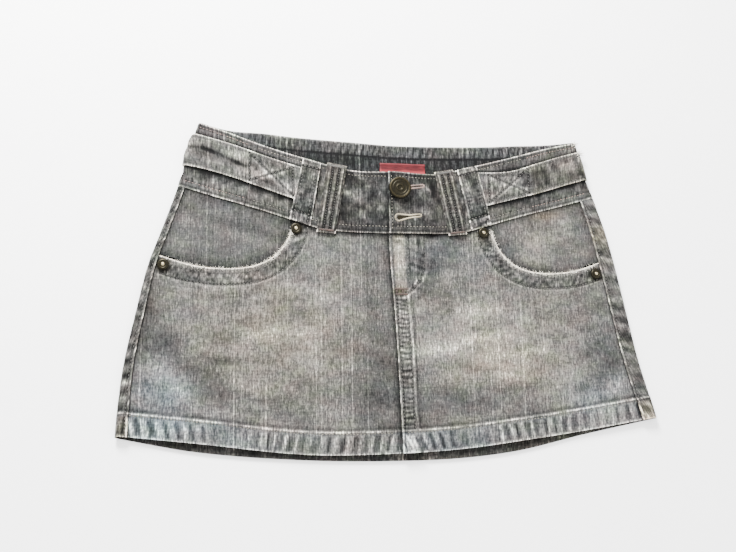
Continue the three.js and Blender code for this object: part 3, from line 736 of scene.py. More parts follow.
def denim(name, tone, stops, streaks=1.0):
    """tone is the ramp place of plain cloth, and stops are the colours of the ramp."""
    material, tree, shader = new_material(name)
    look = node(tree, "Attribute", attribute_name="look")
    parts = node(tree, "SeparateColor", [("Color", look.outputs["Color"])])
    wear, shade, tint = parts.outputs
    fine = threads(tree, 1.2, 6, offset=3)
    slub = threads(tree, 2.0, 40, detail=3, offset=8)
    weft = threads(tree, 9, 1.5, offset=5)
    speck = threads(tree, 1.7, 1.9, detail=1, offset=17)
    cloud = threads(tree, 38, 17, detail=4, offset=1)
    long_warp = between(tree, threads(tree, 2.4, 420, detail=0, offset=21), 0.65, 0.76)
    diagonal = twill(tree)
    rubbed = node(tree, "Math", [(0, wear), (1, between(tree, fine, 0.35, 0.6, 0.55, 1.1))],
                  operation="MULTIPLY").outputs[0]
    noises = [(fine, 0.74 * streaks), (slub, 0.36 * streaks), (weft, 0.24 * streaks), (speck, 0.34),
              (cloud, 0.47), (diagonal, 0.06)]
    start = tone - 0.5 - 0.5 * sum(weight for _, weight in noises)
    value = weighted(tree, [*noises, (long_warp, 0.16 * streaks), (look.outputs["Alpha"], 1.0),
                            (rubbed, 0.8), (shade, -1.0)], start)
    ramp = node(tree, "ValToRGB", [("Fac", value)])
    for i, (place, colour) in enumerate(stops):
        stop = ramp.color_ramp.elements[i] if i < 2 else ramp.color_ramp.elements.new(place)
        stop.position, stop.color = place, srgb(*colour)
    patches = between(tree, threads(tree, 34, 22, detail=3, offset=13), 0.3, 0.7, -0.13, 0.13)
    leaning = node(tree, "Math", [(0, tint), (1, patches)], operation="ADD").outputs[0]
    warm, cool = between(tree, leaning, 0.5, 1.0), between(tree, leaning, 0.5, 0.0)
    colour = dyed(tree, ramp.outputs["Color"], warm, srgb(255, 240, 212))
    colour = dyed(tree, colour, cool, srgb(212, 234, 255))
    stains = threads(tree, 24, 17, detail=2, offset=41)
    colour = dyed(tree, colour, between(tree, stains, 0.5, 0.68), srgb(246, 255, 242))
    colour = dyed(tree, colour, between(tree, stains, 0.5, 0.32), srgb(255, 245, 247))
    height = weighted(tree, [(diagonal, 0.5), (fine, 1.1), (slub, 0.5)], 0.0)
    relief = node(tree, "Bump", [("Strength", 0.55), ("Distance", 0.00035), ("Height", height)])
    numbers = {"Roughness": 0.92, "Specular IOR Level": 0.06, "Sheen Weight": 0.008}
    complete(tree, shader, colour, numbers, relief)
    return material


WASH = [(0, (12, 12, 12)), (1, (222, 216, 203)), (0.25, (33, 33, 32)), (0.5, (61, 60, 58)),
        (0.75, (112, 109, 103))]
washed_denim = denim("washed denim", 0.5, WASH)
facing_denim = denim("facing denim", 0.5, WASH, streaks=0.9)
inside_denim = denim("inside of the denim", 0.34, WASH, streaks=1.25)
print("three denims made")

# %% [markdown]
# ## Front panels
#
# A front panel runs from the centre front to the side seam, and from the hem to the waistband and
# the pocket opening. Its grid has a column for each small share of that way, so the columns fan
# out with the cut, and its rows stand close at the hem and along the upper edge, where the cloth
# turns over. The creases are the skirt's own: long soft ones from the hip to the hem, as it was
# folded in a drawer, and level ones at the top of the thigh, which sitting rubs in.

# %% Creases of the front
# width, height, shade, wear and the line of each crease
CREASES = {
    "right": [
        (9, -0.8, 0.2, 0, [(-224, -32), (-206, -54), (-184, -81), (-157, -108), (-132, -119)]),
        (9, 0.7, 0, 0.18, [(-238, -50), (-216, -74), (-192, -101), (-174, -118)]),
        (8, 0.5, 0, 0.08, [(-205, -20), (-178, -52), (-150, -84), (-118, -104)]),
        (4, 0.3, 0, 0.1, [(-168, -6), (-120, -2), (-66, 3)]),
        (3, -0.3, 0.14, 0, [(-160, -17), (-118, -14), (-70, -8)]),
        (3, -0.2, 0.1, 0, [(-150, -30), (-108, -28), (-68, -22)]),
        (5, 0.3, 0, 0.24, [(-150, -43), (-110, -43), (-62, -40)]),
        (4, -0.4, 0.16, 0, [(-182, -68), (-140, -69), (-98, -70)]),
        (4, 0.2, 0, 0.06, [(-160, -90), (-126, -94), (-92, -96)]),
        (4, -0.3, 0.12, 0, [(-150, -101), (-120, -105), (-84, -104)]),
        (7, -0.4, 0.1, 0, [(-24, 40), (-26, 0), (-20, -40)]),
    ],
    "left": [
        (9, -0.8, 0.22, 0, [(242, -58), (203, -86), (158, -106)]),
        (8, 0.7, 0, 0.2, [(236, -80), (204, -101), (168, -112)]),
        (8, 0.5, 0, 0.05, [(216, -38), (176, -50), (140, -60)]),
        (3, 0.2, 0, 0.13, [(34, 12), (62, 14), (92, 15)]),
        (3, -0.2, 0.07, 0, [(40, -6), (72, -2), (104, -3)]),
        (4, 0.2, 0, 0.2, [(50, -20), (84, -19), (118, -19)]),
        (6, 0.4, 0, 0.24, [(8, -56), (40, -58), (74, -50), (110, -40)]),
        (4, -0.2, 0.1, 0, [(52, -72), (92, -78), (130, -74)]),
        (5, 0.3, 0, 0.2, [(84, -62), (128, -62), (160, -54)]),
        (4, 0.2, 0, 0.12, [(88, -82), (124, -84), (158, -84)]),
        (4, -0.2, 0.1, 0, [(66, -93), (104, -97), (142, -95)]),
        (5, -0.2, 0.08, 0, [(30, -100), (60, -104), (100, -106)]),
    ],
}


def add_creases(finish, creases, x, y, keep, strength=1.0):
    """Each crease is uneven along its length and fades out at both ends."""
    for k, (width, height, shade, wear, corners) in enumerate(creases):
        line = even_steps(rounded_line(np.array(corners, float), 12), 8)
        away, along, _ = near_line(line, x, y)
        ends = smooth(0, 0.2, along) * smooth(0, 0.25, 1 - along)
        uneven = 0.75 + 0.35 * noise(along * 5, k, 2)
        depth = bump(away, 0, width * (1 + 0.3 * noise(along * 4, k, 4))) * ends * uneven * keep
        finish.relief += height * depth
        finish.shade += shade * depth * strength
        finish.wear += wear * depth * strength


# %% [markdown]
# The washed-out thighs are broad soft patches. Brown lies over their middle and blue over the
# lower corners, where the dye was rubbed least.

# %% Washed patches of the front
# middle, size, fade and tint of each patch
PATCHES = [
    ((-112, -46), (58, 52), 0.08, 0.2),
    ((-62, -30), (34, 80), 0.05, 0.02),
    ((-214, -92), (28, 34), 0.15, -0.42),
    ((-196, -12), (40, 24), 0.03, -0.05),
    ((-20, -60), (22, 80), -0.05, 0.0),
    ((-170, -118), (60, 14), 0.03, -0.1),
    ((96, -52), (66, 46), 0.14, 0.12),
    ((26, -56), (22, 18), 0.07, -0.1),
    ((120, -78), (50, 22), 0.04, 0.16),
    ((196, -100), (40, 20), 0.12, -0.3),
    ((50, 30), (40, 22), 0.0, -0.15),
    ((206, -50), (20, 30), -0.06, -0.12),
    ((-60, 34), (40, 16), 0.0, -0.1),
    ((-14, -84), (26, 44), -0.09, 0),
    ((-238, -36), (24, 50), -0.24, 0.1),
    ((-176, -58), (22, 26), -0.06, 0.1),
    ((-130, 24), (50, 10), -0.1, 0.0),
    ((37, 22), (13, 26), -0.14, -0.04),
    ((42, 43), (7, 5), 0.12, -0.05),
    ((-44, -100), (40, 16), -0.04, -0.04),
    ((70, -108), (60, 10), -0.08, -0.1),
]


def add_patches(finish, x, y):
    for k, ((middle_x, middle_y), (width, height), fade, tint) in enumerate(PATCHES):
        across, up = (x - middle_x) / width, (y - middle_y) / height
        wobble = 1 + 0.3 * noise(x / 24, y / 24, k)
        share = np.exp(-(across**2 + up**2) * wobble)
        finish.fade += fade * share
        finish.tint += tint * share


# %% [markdown]
# The hem is turned up twice and stitched once. Its upper edge is a thin rubbed ridge, and below it
# the thick hem ropes: it twists a little between stitches, in ribs that rub pale and keep dark dye
# between them.


# %% Hem ribs
STITCH_ROW_UP = 18.4
SEED_STEP = {"right": 0, "left": 6}  # so that both sides differ


def add_hem(finish, run, up, seed, strength=1.0, lean=0.0):
    slant = run + (up - 9) * (lean + 0.35 * noise(run / 55, 0, seed))
    ribs = 0.75 * ripple(slant, 10.4, seed) + 0.42 * ripple(slant, 4.6, seed + 1)
    body = smooth(0.5, 4, up) * (1 - smooth(STITCH_ROW_UP - 3.5, STITCH_ROW_UP - 0.6, up))
    uneven = 0.75 + 0.4 * noise(run / 40, up / 30, seed + 2)
    finish.raise_by(0.37 * ribs * body * uneven, wear=1.15 * strength, shade=1.3 * strength)
    crest = np.maximum(ripple(slant, 7.2, seed + 5), 0) ** 6
    finish.wear += 0.5 * (crest * body * (0.4 + 0.6 * (noise(run / 20, 0, seed) > -0.2)))
    finish.raise_by(-0.22 * bump(up, STITCH_ROW_UP, 0.9), shade=0.5)
    finish.raise_by(0.22 * bump(up, STITCH_ROW_UP + 1.9, 0.9))
    finish.wear += 0.6 * bump(up, STITCH_ROW_UP + 1.6, 0.85) * (0.66 + 0.42 * noise(run / 5, 0, seed))
    finish.shade += 0.16 * bump(up, STITCH_ROW_UP + 4.2, 1.5)
    finish.wear += 0.55 * bump(up, 0, 1.3) * (0.8 + 0.3 * noise(run / 4, 0, seed + 7))
    inside = 1 - smooth(STITCH_ROW_UP, STITCH_ROW_UP + 1, up)
    finish.tint -= 0.24 * inside * (0.7 + 0.6 * noise(run / 70, 0, seed + 8))
    finish.fade += 0.05 * inside


# %% [markdown]
# Round the pocket two rows of stitches follow the opening. The cloth between them is doubled and
# puckers across, and the cut edge has frayed to bare white threads.

# %% Pocket seams
POCKET_ROWS = (4.6, 15.2)
FRAY_WIDTH = 0.7
FRAY_THICK = {"right": 0.24, "left": 0.42}  # where along the opening it has frayed most


def add_pocket_seams(finish, side, x, y):
    line = pocket_line[side]
    away, along, _ = near_line(line, np.abs(x), y)
    run = along * line_length(line)
    seed = 31 + SEED_STEP[side]
    inner, outer = POCKET_ROWS
    ends = smooth(0, 0.05, along) * (1 - smooth(0.94, 0.99, along))
    strip = smooth(inner - 1, inner + 1, away) * (1 - smooth(outer - 2, outer, away)) * ends
    puckers = 0.7 * ripple(run + 0.6 * away, 5.2, seed) + 0.9 * noise(run / 2.2, away / 2.6, seed + 1)
    finish.raise_by(0.22 * puckers * strip, wear=1.2, shade=1.2)
    finish.shade += 0.08 * strip
    finish.stitched(np.where(ends > 0.5, away - inner, 9.0), depth=0.25, shade=0.14)
    finish.wear += 0.3 * bump(away, inner - 1.5, 1.0) * np.maximum(ripple(run, 3.2, seed + 2), 0) * ends
    open_row = smooth(0.02, 0.1, along) * (1 - smooth(0.95, 1, along))
    finish.relief -= 0.3 * bump(away, outer, 0.9) * open_row
    finish.shade += 0.4 * bump(away, outer, 0.75) * open_row
    finish.wear += 0.18 * bump(away, outer + 1.8, 0.9) * open_row
    ragged = 0.55 + 1.1 * np.maximum(noise(run / 5, 0, seed + 4), 0) + 0.45 * noise(run / 1.6, 0, seed + 5)
    ragged = FRAY_WIDTH * (0.55 + 0.95 * bump(along, FRAY_THICK[side], 0.2)) * ragged
    frayed = (1 - smooth(ragged, ragged + 0.8, away)) * smooth(0.02, 0.08, along)
    finish.wear += 1.3 * frayed
    finish.tint += 0.2 * frayed


# %% [markdown]
# The fly and the centre seam: the wearer's left front has a folded edge, a strip of facing behind
# it and a curved row of stitches down to the bar tack. Below that the seam is felled, with two rows.

# %% Fly and felled seam
FLY_CURVE = [(29.5, 50), (29.9, 34), (28.6, 20), (25, 9.5), (19, 1.5), (12.5, -4), (7, -6)]
FLY_STRAIGHT_ROW = 16.5
STITCH_STEP = 3.2
FELL_ROWS = (2.6, 12.4)
fly_curve = rounded_line(np.array(FLY_CURVE, float), 60)


def add_fly(finish, x, y, up):
    past = x - centre_front(y)
    finish.wear += 0.46 * bump(past, 0, 0.9) * (0.8 + 0.4 * noise(y / 4, 0, 3))
    finish.shade += 0.1 * bump(past, 2.6, 1.1)
    above, below = smooth(FLY_END - 3, FLY_END + 3, y), 1 - smooth(FLY_END - 4, FLY_END, y)
    low = below * smooth(STITCH_ROW_UP + 2, STITCH_ROW_UP + 4, up)
    facing = smooth(2, 4, past) * (1 - smooth(FLY_STRAIGHT_ROW - 4, FLY_STRAIGHT_ROW - 1, past))
    finish.fade += 0.16 * facing * above
    finish.tint += 0.2 * facing * above
    finish.stitched(np.where(above > 0.5, past - FLY_STRAIGHT_ROW, 9.0), depth=0.25, shade=0.12)
    away, along, _ = near_line(fly_curve, x, y)
    run = along * line_length(fly_curve)
    finish.stitched(away, depth=0.3, width=1.0, shade=0.14)
    bend = 1 - smooth(10, 26, y)
    finish.wear += (0.1 + 0.3 * bend) * bump(away, 2.2, 1.2) * (x > centre_front(y) + 9)
    drawn = smooth(17, 19, past) * (1 - smooth(-3, 1, x - 31)) * above
    puckers = 0.16 * ripple(y + 0.4 * x, 8, 41) + 0.26 * noise(x / 3.6, y / 5, 42)
    finish.raise_by(puckers * drawn, wear=0.35, shade=1.1)
    finish.shade += 0.16 * bump(past, 18.2, 1.4) * above
    finish.fade -= 0.05 * drawn
    finish.shade += 0.24 * np.exp(-((x - 25) / 3.4) ** 2 - ((y - 21) / 6.5) ** 2)
    finish.wear += 0.34 * bump(y, 48, 0.9) * smooth(4, 8, past) * (1 - smooth(24, 28, past))
    finish.shade += 0.2 * bump(y, 45.6, 1.6) * smooth(3, 5, past) * (1 - smooth(8, 14, past))
    ribs = ripple(y, 4.6, 43, past / 9) + 0.5 * ripple(y, 2.4, 44)
    between_rows = smooth(1.2, 3, past) * (1 - smooth(11, 13.5, past)) * low
    finish.raise_by(0.24 * ribs * between_rows, wear=1.2, shade=1.5)
    in_hem = 1 - smooth(STITCH_ROW_UP - 3, STITCH_ROW_UP, up)
    finish.wear += 0.3 * bump(past, 7, 7) * in_hem * smooth(1, 3, past)
    tack = bump(past, 6, 8) * bump(y, -3.2, 4)
    finish.shade += 0.3 * tack
    finish.tint += 0.4 * tack
    for row in FELL_ROWS:
        dimples = 0.55 + 0.45 * np.sin(2 * np.pi * y / STITCH_STEP)
        finish.relief -= 0.3 * bump(past, row, 0.8) * low
        finish.shade += 0.5 * bump(past, row, 0.75) * dimples * low
    finish.wear += 0.42 * bump(past, 14.4, 0.9) * low * (0.7 + 0.4 * noise(y / 5, 0, 9))
    finish.shade += 0.18 * bump(past, 17, 1.3) * low


# %% [markdown]
# With all of this in place the panels are made. The lower face of each is the plain form, and the
# upper face carries the relief.

# %% Front panels
PANEL_PITCH = 1.7
EDGE_STEPS = np.array([0, 0.35, 0.8, 1.4, 2.1, 2.9, 3.8, 4.8])
LEFT_EDGE_STEPS = np.concatenate([EDGE_STEPS, np.arange(5.8, 42, 1.0)])
PANEL_WIDTH = 240
CLOSE_ROWS = 24  # up to this height above the hem the rows stand close


def panel_x(side, share, y, up):
    way = SIDES[side]
    centre, seam = centre_front(y), seam_x(side, y)
    tuck = np.minimum(SEAM_TUCK, fold_centre(side, y, up) + SEAM_GAP - seam)
    inside = centre + (way * seam - centre) * np.clip(share, 0, 1)
    return inside + way * PANEL_UNDERLAP * np.minimum(share, 0) + way * tuck * np.maximum(share - 1, 0)


def panel_top(side, x):
    opening = pocket_line[side]
    waist = band_bottom_front(x) - SEAM_GAP
    edge = np.interp(x, opening[:, 0], opening[:, 1])
    return np.where(x <= POCKET_INNER_X, waist, np.minimum(edge, waist))


def panel_shares(side):
    opening = pocket_line[side][::2]
    centre = SIDES[side] * centre_front(opening[:, 1])
    along = (opening[:, 0] - centre) / (seam_x(side, opening[:, 1]) - centre)
    even = np.arange(0, 1, PANEL_PITCH / PANEL_WIDTH)
    if side == "left":
        close = LEFT_EDGE_STEPS / PANEL_WIDTH
        even = np.concatenate([close, even[even > close[-1]]])
    before = [] if side == "left" else [-1, -0.8, -0.6, -0.4, -0.2]
    inside = np.sort(np.concatenate([even[even < along[0]], along[:-1], [1 - 0.006, 1 - 0.003]]))
    return np.concatenate([before, inside, [1, 1.3, 1.6, 2]])


RIVET_PLACES = {"right": [(-94, 56), (-214.8, 19.6)], "left": [(89.5, 56), (204, 17)]}
HEM_RIBS = {"right": {"strength": 1.0, "lean": 0.0}, "left": {"strength": 0.85, "lean": 0.32}}


def front_panel(side):
    shares = panel_shares(side)
    in_seam = np.clip(shares, 0, 1)
    top = np.full(shares.shape, float(band_bottom_front(0)))
    for _ in range(16):
        top = panel_top(side, np.abs(panel_x(side, in_seam, top, ABOVE_HEM)))
    hem = np.full(shares.shape, float(HEM_SIDE[side]))
    for _ in range(4):
        hem = hem_front(panel_x(side, in_seam, hem, 0.0))
    hem_ups = np.concatenate([[0, 0.4, 1], np.arange(2, 17, 1.25), np.arange(17.2, CLOSE_ROWS, 0.7)])
    middle = np.linspace(0, 1, int(175 / PANEL_PITCH))[1:-1]
    near_top = EDGE_STEPS[::-1]
    length = top - hem
    ups = np.concatenate([
        np.broadcast_to(hem_ups[:, None], (len(hem_ups), len(shares))),
        CLOSE_ROWS + (length - near_top[0] - CLOSE_ROWS) * middle[:, None],
        length - near_top[:, None],
    ])
    share = np.broadcast_to(shares, ups.shape)
    y = hem + ups
    x = panel_x(side, share, y, ups)
    finish = Finish(x.shape)
    add_patches(finish, x, y)
    keep = inside_seam(side, x, y, 1, 14)
    add_creases(finish, CREASES[side], x, y, keep, 0.8)
    finish.relief += keep * (0.3 * noise(x / 34, y / 40, 5) + 0.14 * noise(x / 11, y / 15, 6))
    add_hem(finish, x, ups, 51 + SEED_STEP[side], **HEM_RIBS[side])
    add_pocket_seams(finish, side, x, y)
    if side == "left":
        add_fly(finish, x, y, ups)
    else:
        past = x - centre_front(y)
        # painted shadow on this panel beside the edge of the left front, which laps over it
        finish.shade += 0.1 * smooth(-10, -1, past) + 0.26 * smooth(-3, -0.6, past)
    for rivet_x, rivet_y in RIVET_PLACES[side]:
        stain = bump(np.hypot(x - rivet_x, y - rivet_y), 5, 2.4)
        finish.shade += 0.28 * stain * (0.9 + 0.4 * noise(x / 3, y / 3, 7))
        finish.tint += 0.25 * stain
    below = length - ups
    waist = np.abs(x) < POCKET_INNER_X + 2
    # painted shadow below the waistband's lower edge, and along the edge of the back panel's lap
    finish.shade += 0.5 * bump(below, 0, 3.4) * waist
    finish.shade += 0.3 * bump(inside_seam(side, x, y, 0, 3), 0, 0.5)
    finish.relief -= 0.35 * bump(below, 0, 0.7)
    finish.relief -= 0.4 * bump(ups, 0, 0.7)
    if side == "left":
        finish.relief -= 0.35 * bump(x - centre_front(y), 0, 0.6)
    finish.relief *= smooth(-0.2, 1, 2 - share)
    dress_flat("front_panel_" + side, x, y, front_low(side, x, y, ups), front_cloth(ups), finish,
               "washed_denim", washed_denim, "back_panel_" + side)


for side in SIDES:
    front_panel(side)

# %% [markdown]
# ## Pocket facings
#
# Inside each scoop lies a denim facing, sewn into the waistband and the side seam. It keeps soft
# upright folds, because only its edges are held, and painted shade darkens it under the pocket's
# edge, under the band and along the side seam.

# %% Pocket facings
FACING_ROWS = 62
FACING_TINT = {"right": -0.04, "left": 0.02}
FACING_FADE = {"right": 0.43, "left": 0.505}
# washed patches: distance out, distance below the band, size, fade and tint
FACING_PATCHES = {
    "right": [(145, 30, (90, 7), 0.1, 0.0), (145, 22, (90, 7), -0.1, 0.0), (180, 12, (20, 7), 0.05, 0.0)],
    "left": [(156, 5, (20, 6), 0.0, 0.38), (150, 34, (26, 13), 0.08, 0.05), (112, 24, (9, 22), -0.06, -0.1),
             (188, 20, (9, 18), -0.06, -0.05), (120, 7, (14, 4), 0.08, 0.0)],
}


def pocket_facing(side):
    way, opening = SIDES[side], pocket_line[side]
    along = np.linspace(0, 1, len(opening))
    run = directions(opening)
    margin = facing_margin(along)
    top_inner = POCKET_INNER_X - margin[0] + 1
    top_x = top_inner + (seam_x(side, BAND_SIDE_BOTTOM - 3) - top_inner) * along
    top_y = band_bottom_front(top_x) - SEAM_GAP
    low_x = opening[:, 0] + run[:, 1] * margin
    low_y = np.minimum(opening[:, 1] - run[:, 0] * margin, band_bottom_front(low_x) - 4)
    share = np.linspace(0, 1, FACING_ROWS)[:, None]
    y = low_y + (top_y - low_y) * share
    x = low_x + (top_x - low_x) * share
    x[:, -1] = seam_x(side, y[:, -1])
    tuck = np.minimum(SEAM_TUCK, fold_centre(side, y[:, -1], ABOVE_HEM) + SEAM_GAP - x[:, -1])
    x = np.column_stack([x, x[:, -1] + tuck / 2, x[:, -1] + tuck])
    y = np.column_stack([y, y[:, -1], y[:, -1]])
    finish = Finish(x.shape, fade=FACING_FADE[side])
    away, _, _ = near_line(opening, x, y)
    from_seam, from_band = seam_x(side, y) - x, band_bottom_front(x) - y
    finish.relief += 0.35 * noise(x / 13, y / 60, 61) * smooth(0, 12, away) * smooth(4, 12, from_seam)
    # painted shade under the pocket's edge, under the band's lower edge and beside the side seam's lap
    finish.shade += 0.2 * bump(away, 0, 7) + 0.16 * bump(from_band, 0, 7)
    finish.shade += 0.12 * bump(from_seam, 0, 5)
    finish.tint += FACING_TINT[side]
    for at, down, size, fade, tint in FACING_PATCHES[side]:
        share = bump(x, at, size[0]) * bump(from_band, down, size[1])
        finish.fade += fade * share
        finish.tint += tint * share
    dress_flat("pocket_facing_" + side, way * x, y, FACING_LEVEL + 0 * x, FACING_CLOTH, finish,
               "facing_denim", facing_denim, "back_panel_" + side)


for side in SIDES:
    pocket_facing(side)

# %% [markdown]
# ## Back panels and the lapped side seams
#
# A back panel lies flat on the floor, turns up at the side in a soft fold, and its edge laps over
# the front. The lap has one row of stitches near its edge. The thread gathers it into short ribs
# across the seam, and its edge is rubbed to a pale line.

# %% Back panels
BACK_COLUMNS, FOLD_STEPS, LAP_STEPS = 44, 14, 17
SIDE_SEAM_ROW = 2.4
LAP_FADE = {"right": -0.03, "left": 0.025}
WARM_PATCH_Y = 56  # a warm stain on the wearer's left side


def hem_to_waist_rows(length):
    """Distances up from the hem: close rows in the hem, then even ones up to the edge."""
    in_hem = np.concatenate([[0, 0.4, 1], np.arange(2, 17, 1.5), np.arange(17.2, CLOSE_ROWS, 0.8)])
    above = np.linspace(0, 1, 92)[1:]
    length = np.atleast_1d(length).astype(float)
    return np.concatenate([in_hem[:, None] + 0 * length,
                           CLOSE_ROWS + (length - CLOSE_ROWS) * above[:, None]])


def add_side_seam(finish, side, from_edge, y, up, lap):
    seed = 71 + SEED_STEP[side]
    on_lap = smooth(-0.5, 0.5, lap)
    finish.stitched(np.where(lap > 0.5, from_edge - SIDE_SEAM_ROW, 9.0), depth=0.28, shade=0.2)
    ribs = 0.7 * ripple(y + 0.25 * from_edge, 12.5, seed) + 0.6 * noise(y / 4, from_edge / 6, seed + 1)
    reach = smooth(0.8, 3.5, from_edge) * (1 - 0.6 * smooth(12, 22, from_edge)) * on_lap
    strength = 0.75 + 0.5 * noise(y / 30, 0, seed + 2)
    finish.raise_by(0.36 * ribs * reach * strength, wear=1.0, shade=1.1)
    finish.wear += 0.42 * bump(from_edge, 0.3, 1.0) * (0.8 + 0.5 * noise(y / 6, 0, seed + 3)) * on_lap
    finish.fade += LAP_FADE[side] * on_lap


def back_panel(side):
    way = SIDES[side]
    top_y = BAND_SIDE_BOTTOM - SEAM_GAP
    side_ups = hem_to_waist_rows(top_y - HEM_SIDE[side])
    centre = fold_centre(side, HEM_SIDE[side] + side_ups, side_ups)
    cloth_here, radius, low_z = back_cloth(side_ups), fold_radius(side_ups), lap_low(side_ups)

    def run_y(share, hem_edge, waist_edge):
        hem = hem_edge(way * share * centre[0])
        waist = waist_edge(share * centre[-1]) - SEAM_GAP
        return hem + hem_to_waist_rows(waist - hem)

    shares = np.linspace(0, 1, BACK_COLUMNS)
    flat_x = np.maximum(shares * centre, SEAM_GAP / 2)
    flat_y = run_y(shares, hem_back, band_bottom_back)
    back_y, front_y = flat_y[:, -1:], run_y(np.ones(1), hem_front, band_bottom_front)
    turns = np.linspace(0, 1, FOLD_STEPS + 1)[1:]
    angle = turns * np.pi
    fold_y = back_y + (front_y - back_y) * turns
    edge = seam_x(side, front_y)
    lap_shares = 1 - (1 - np.linspace(0, 1, LAP_STEPS + 1)[1:]) ** 1.3
    lap_x = centre + (edge - centre) * lap_shares
    lap_hem = hem_front(way * lap_x[0])
    lap_waist = band_bottom_front(lap_x[-1]) - SEAM_GAP
    lap_y = lap_hem + hem_to_waist_rows(lap_waist - lap_hem)
    x = np.concatenate([flat_x, centre + radius * np.sin(angle), lap_x], 1)
    y = np.concatenate([flat_y, fold_y, lap_y], 1)
    z = np.concatenate([0 * flat_x, radius - radius * np.cos(angle), low_z + cloth_here + 0 * lap_x], 1)
    thin = radius - cloth_here
    inner_x = np.concatenate([flat_x, centre + thin * np.sin(angle), lap_x], 1)
    inner_z = np.concatenate([cloth_here + 0 * flat_x, radius - thin * np.cos(angle), low_z + 0 * lap_x], 1)
    lap = np.concatenate([0 * flat_x, smooth(0.5, 1, turns) + 0 * fold_y, 1 + 0 * lap_x], 1)
    ups = y - y[:1]
    arc = np.concatenate([flat_x, centre + radius * angle, centre + radius * np.pi + (centre - lap_x)], 1)
    finish = Finish(x.shape, fade=0.42)
    from_edge = np.abs(x - edge) + 6 * (1 - lap)
    add_side_seam(finish, side, from_edge, y, ups, lap)
    seed = 81 + SEED_STEP[side]
    hem_finish = Finish(x.shape)
    add_hem(hem_finish, arc, ups, seed)
    finish.relief += hem_finish.relief * lap * 0.8
    finish.wear += hem_finish.wear
    finish.shade += hem_finish.shade + 0.04 * (1 - lap)
    finish.tint += hem_finish.tint - 0.5
    in_hem = lap * (1 - smooth(16, 20, ups))
    finish.fade += 0.13 * in_hem
    finish.tint += 0.4 * in_hem
    if side == "left":
        finish.tint += 0.4 * lap * bump(y, WARM_PATCH_Y, 12)
        finish.fade += 0.06 * lap * bump(y, WARM_PATCH_Y, 9)
    finish.relief -= 0.4 * bump(from_edge, 0, 0.7) * lap + 0.5 * bump(ups, 0, 0.8) * lap
    outward = np.concatenate([0 * flat_x, np.sin(angle) + 0 * fold_y, 0 * lap_x], 1)
    upward = np.concatenate([0 * flat_x, -np.cos(angle) * (angle > 1.4) + 0 * fold_y, 1 + 0 * lap_x], 1)
    outer = with_height(way * (x + outward * finish.relief), y, z + upward * finish.relief)
    hollow = hem_finish.relief * (1 - lap) * 0.8
    inner = with_height(way * inner_x, y, inner_z + hollow)
    inside = finish.look()
    ticks = np.maximum(ripple(arc, 5.6, seed + 9), 0) ** 5 * (1 - smooth(15, 18, ups))
    seam_strip = bump(arc, 0, 7) * (1 - smooth(18, 20, ups))
    inside[..., 0] = np.clip(0.2 * hem_finish.wear + 0.5 * ticks + 0.35 * seam_strip, 0, 1)
    inside[..., 1] = np.clip(0.5 * hem_finish.shade + 0.08, 0, 1)
    inside[..., 2] = 0.56
    flat = np.stack([way * arc, y], -1)
    dress("back_panel_" + side, outer, inner, flat, finish.look(), "washed_denim",
          [washed_denim, inside_denim], ["floor"], inner_look=inside, inner_material=1)


for side in SIDES:
    back_panel(side)

# %% [markdown]
# ## Shaped waistband
#
# The band is two layers of denim, shaped to the hip, with one row of stitches along each edge. Its
# front halves meet at the button, and the wearer's left one lies on top. The back part runs from
# one join round the back to the other, and inside it shows the cloth's darker face.

# %% Waistband
BAND_ROWS = np.concatenate([EDGE_STEPS, np.arange(6, 30, 1.15)])
BAND_STITCH_ROWS = {"top": 4.6, "bottom": 6.6}
BAND_HEIGHT, BAND_HALF_WIDTH = 62, 196
# width, height, shade, wear and the line of each crease
BAND_CREASES = [
    (2.6, 0.35, 0, 0.3, [(-52, 98), (-40, 89), (-29, 82), (-17, 77)]),
    (5, -0.5, 0.34, 0, [(-48, 112), (-36, 103), (-24, 97)]),
    (2, 0.25, 0, 0.24, [(-42, 118), (-32, 108), (-20, 103)]),
    (5, 0.3, 0, 0.12, [(-50, 70), (-36, 74), (-24, 68)]),
    (1.5, 0.2, 0, 0.25, [(-32, 66), (-22, 76), (-16, 88)]),
    (3.2, 0.3, 0, 0.16, [(-18, 90), (-13, 80), (-9, 66)]),
    (4, -0.35, 0.2, 0, [(14, 86), (26, 84), (38, 80)]),
    (2, 0.3, 0, 0.34, [(24, 78), (32, 73), (42, 66)]),
    (3, -0.4, 0.3, 0, [(34, 110), (39, 100), (43, 88)]),
    (1.8, 0.25, 0, 0.3, [(30, 102), (36, 97), (40, 91)]),
]


def add_band(finish, run, x, y, from_top, from_bottom, seed):
    uneven = 0.75 + 0.35 * noise(run / 26, 0, seed)
    rows = [(from_top, BAND_STITCH_ROWS["top"], 4.4), (from_bottom, BAND_STITCH_ROWS["bottom"], 5.0)]
    for away, row, wave in rows:
        puckers = ripple(run, wave, seed + int(row)) + 0.4 * ripple(run, 2.6, seed + 1)
        near = bump(away, row + 0.6, 3.0)
        finish.raise_by(0.2 * puckers * near * uneven, wear=1.0, shade=1.4)
        finish.stitched(away - row, depth=0.25, shade=0.14)
        finish.wear += 0.62 * bump(away, 0.3, 0.8) * (0.9 + 0.15 * noise(run / 4, 0, seed + 2))
        finish.shade += 0.16 * bump(away, 2.4, 0.9)
        finish.relief -= 0.5 * bump(away, 0, 0.7)
    body = smooth(6, 14, from_top) * smooth(6, 14, from_bottom)
    finish.relief += body * 0.35 * noise(x / 22, y / 16, seed + 4)
    crumple = 0.28 * noise(x / 6, y / 7, seed + 5) + 0.14 * noise(x / 2.6, y / 3, seed + 6)
    finish.raise_by(body * crumple, wear=0.8, shade=0.8)
    finish.shade += 0.05


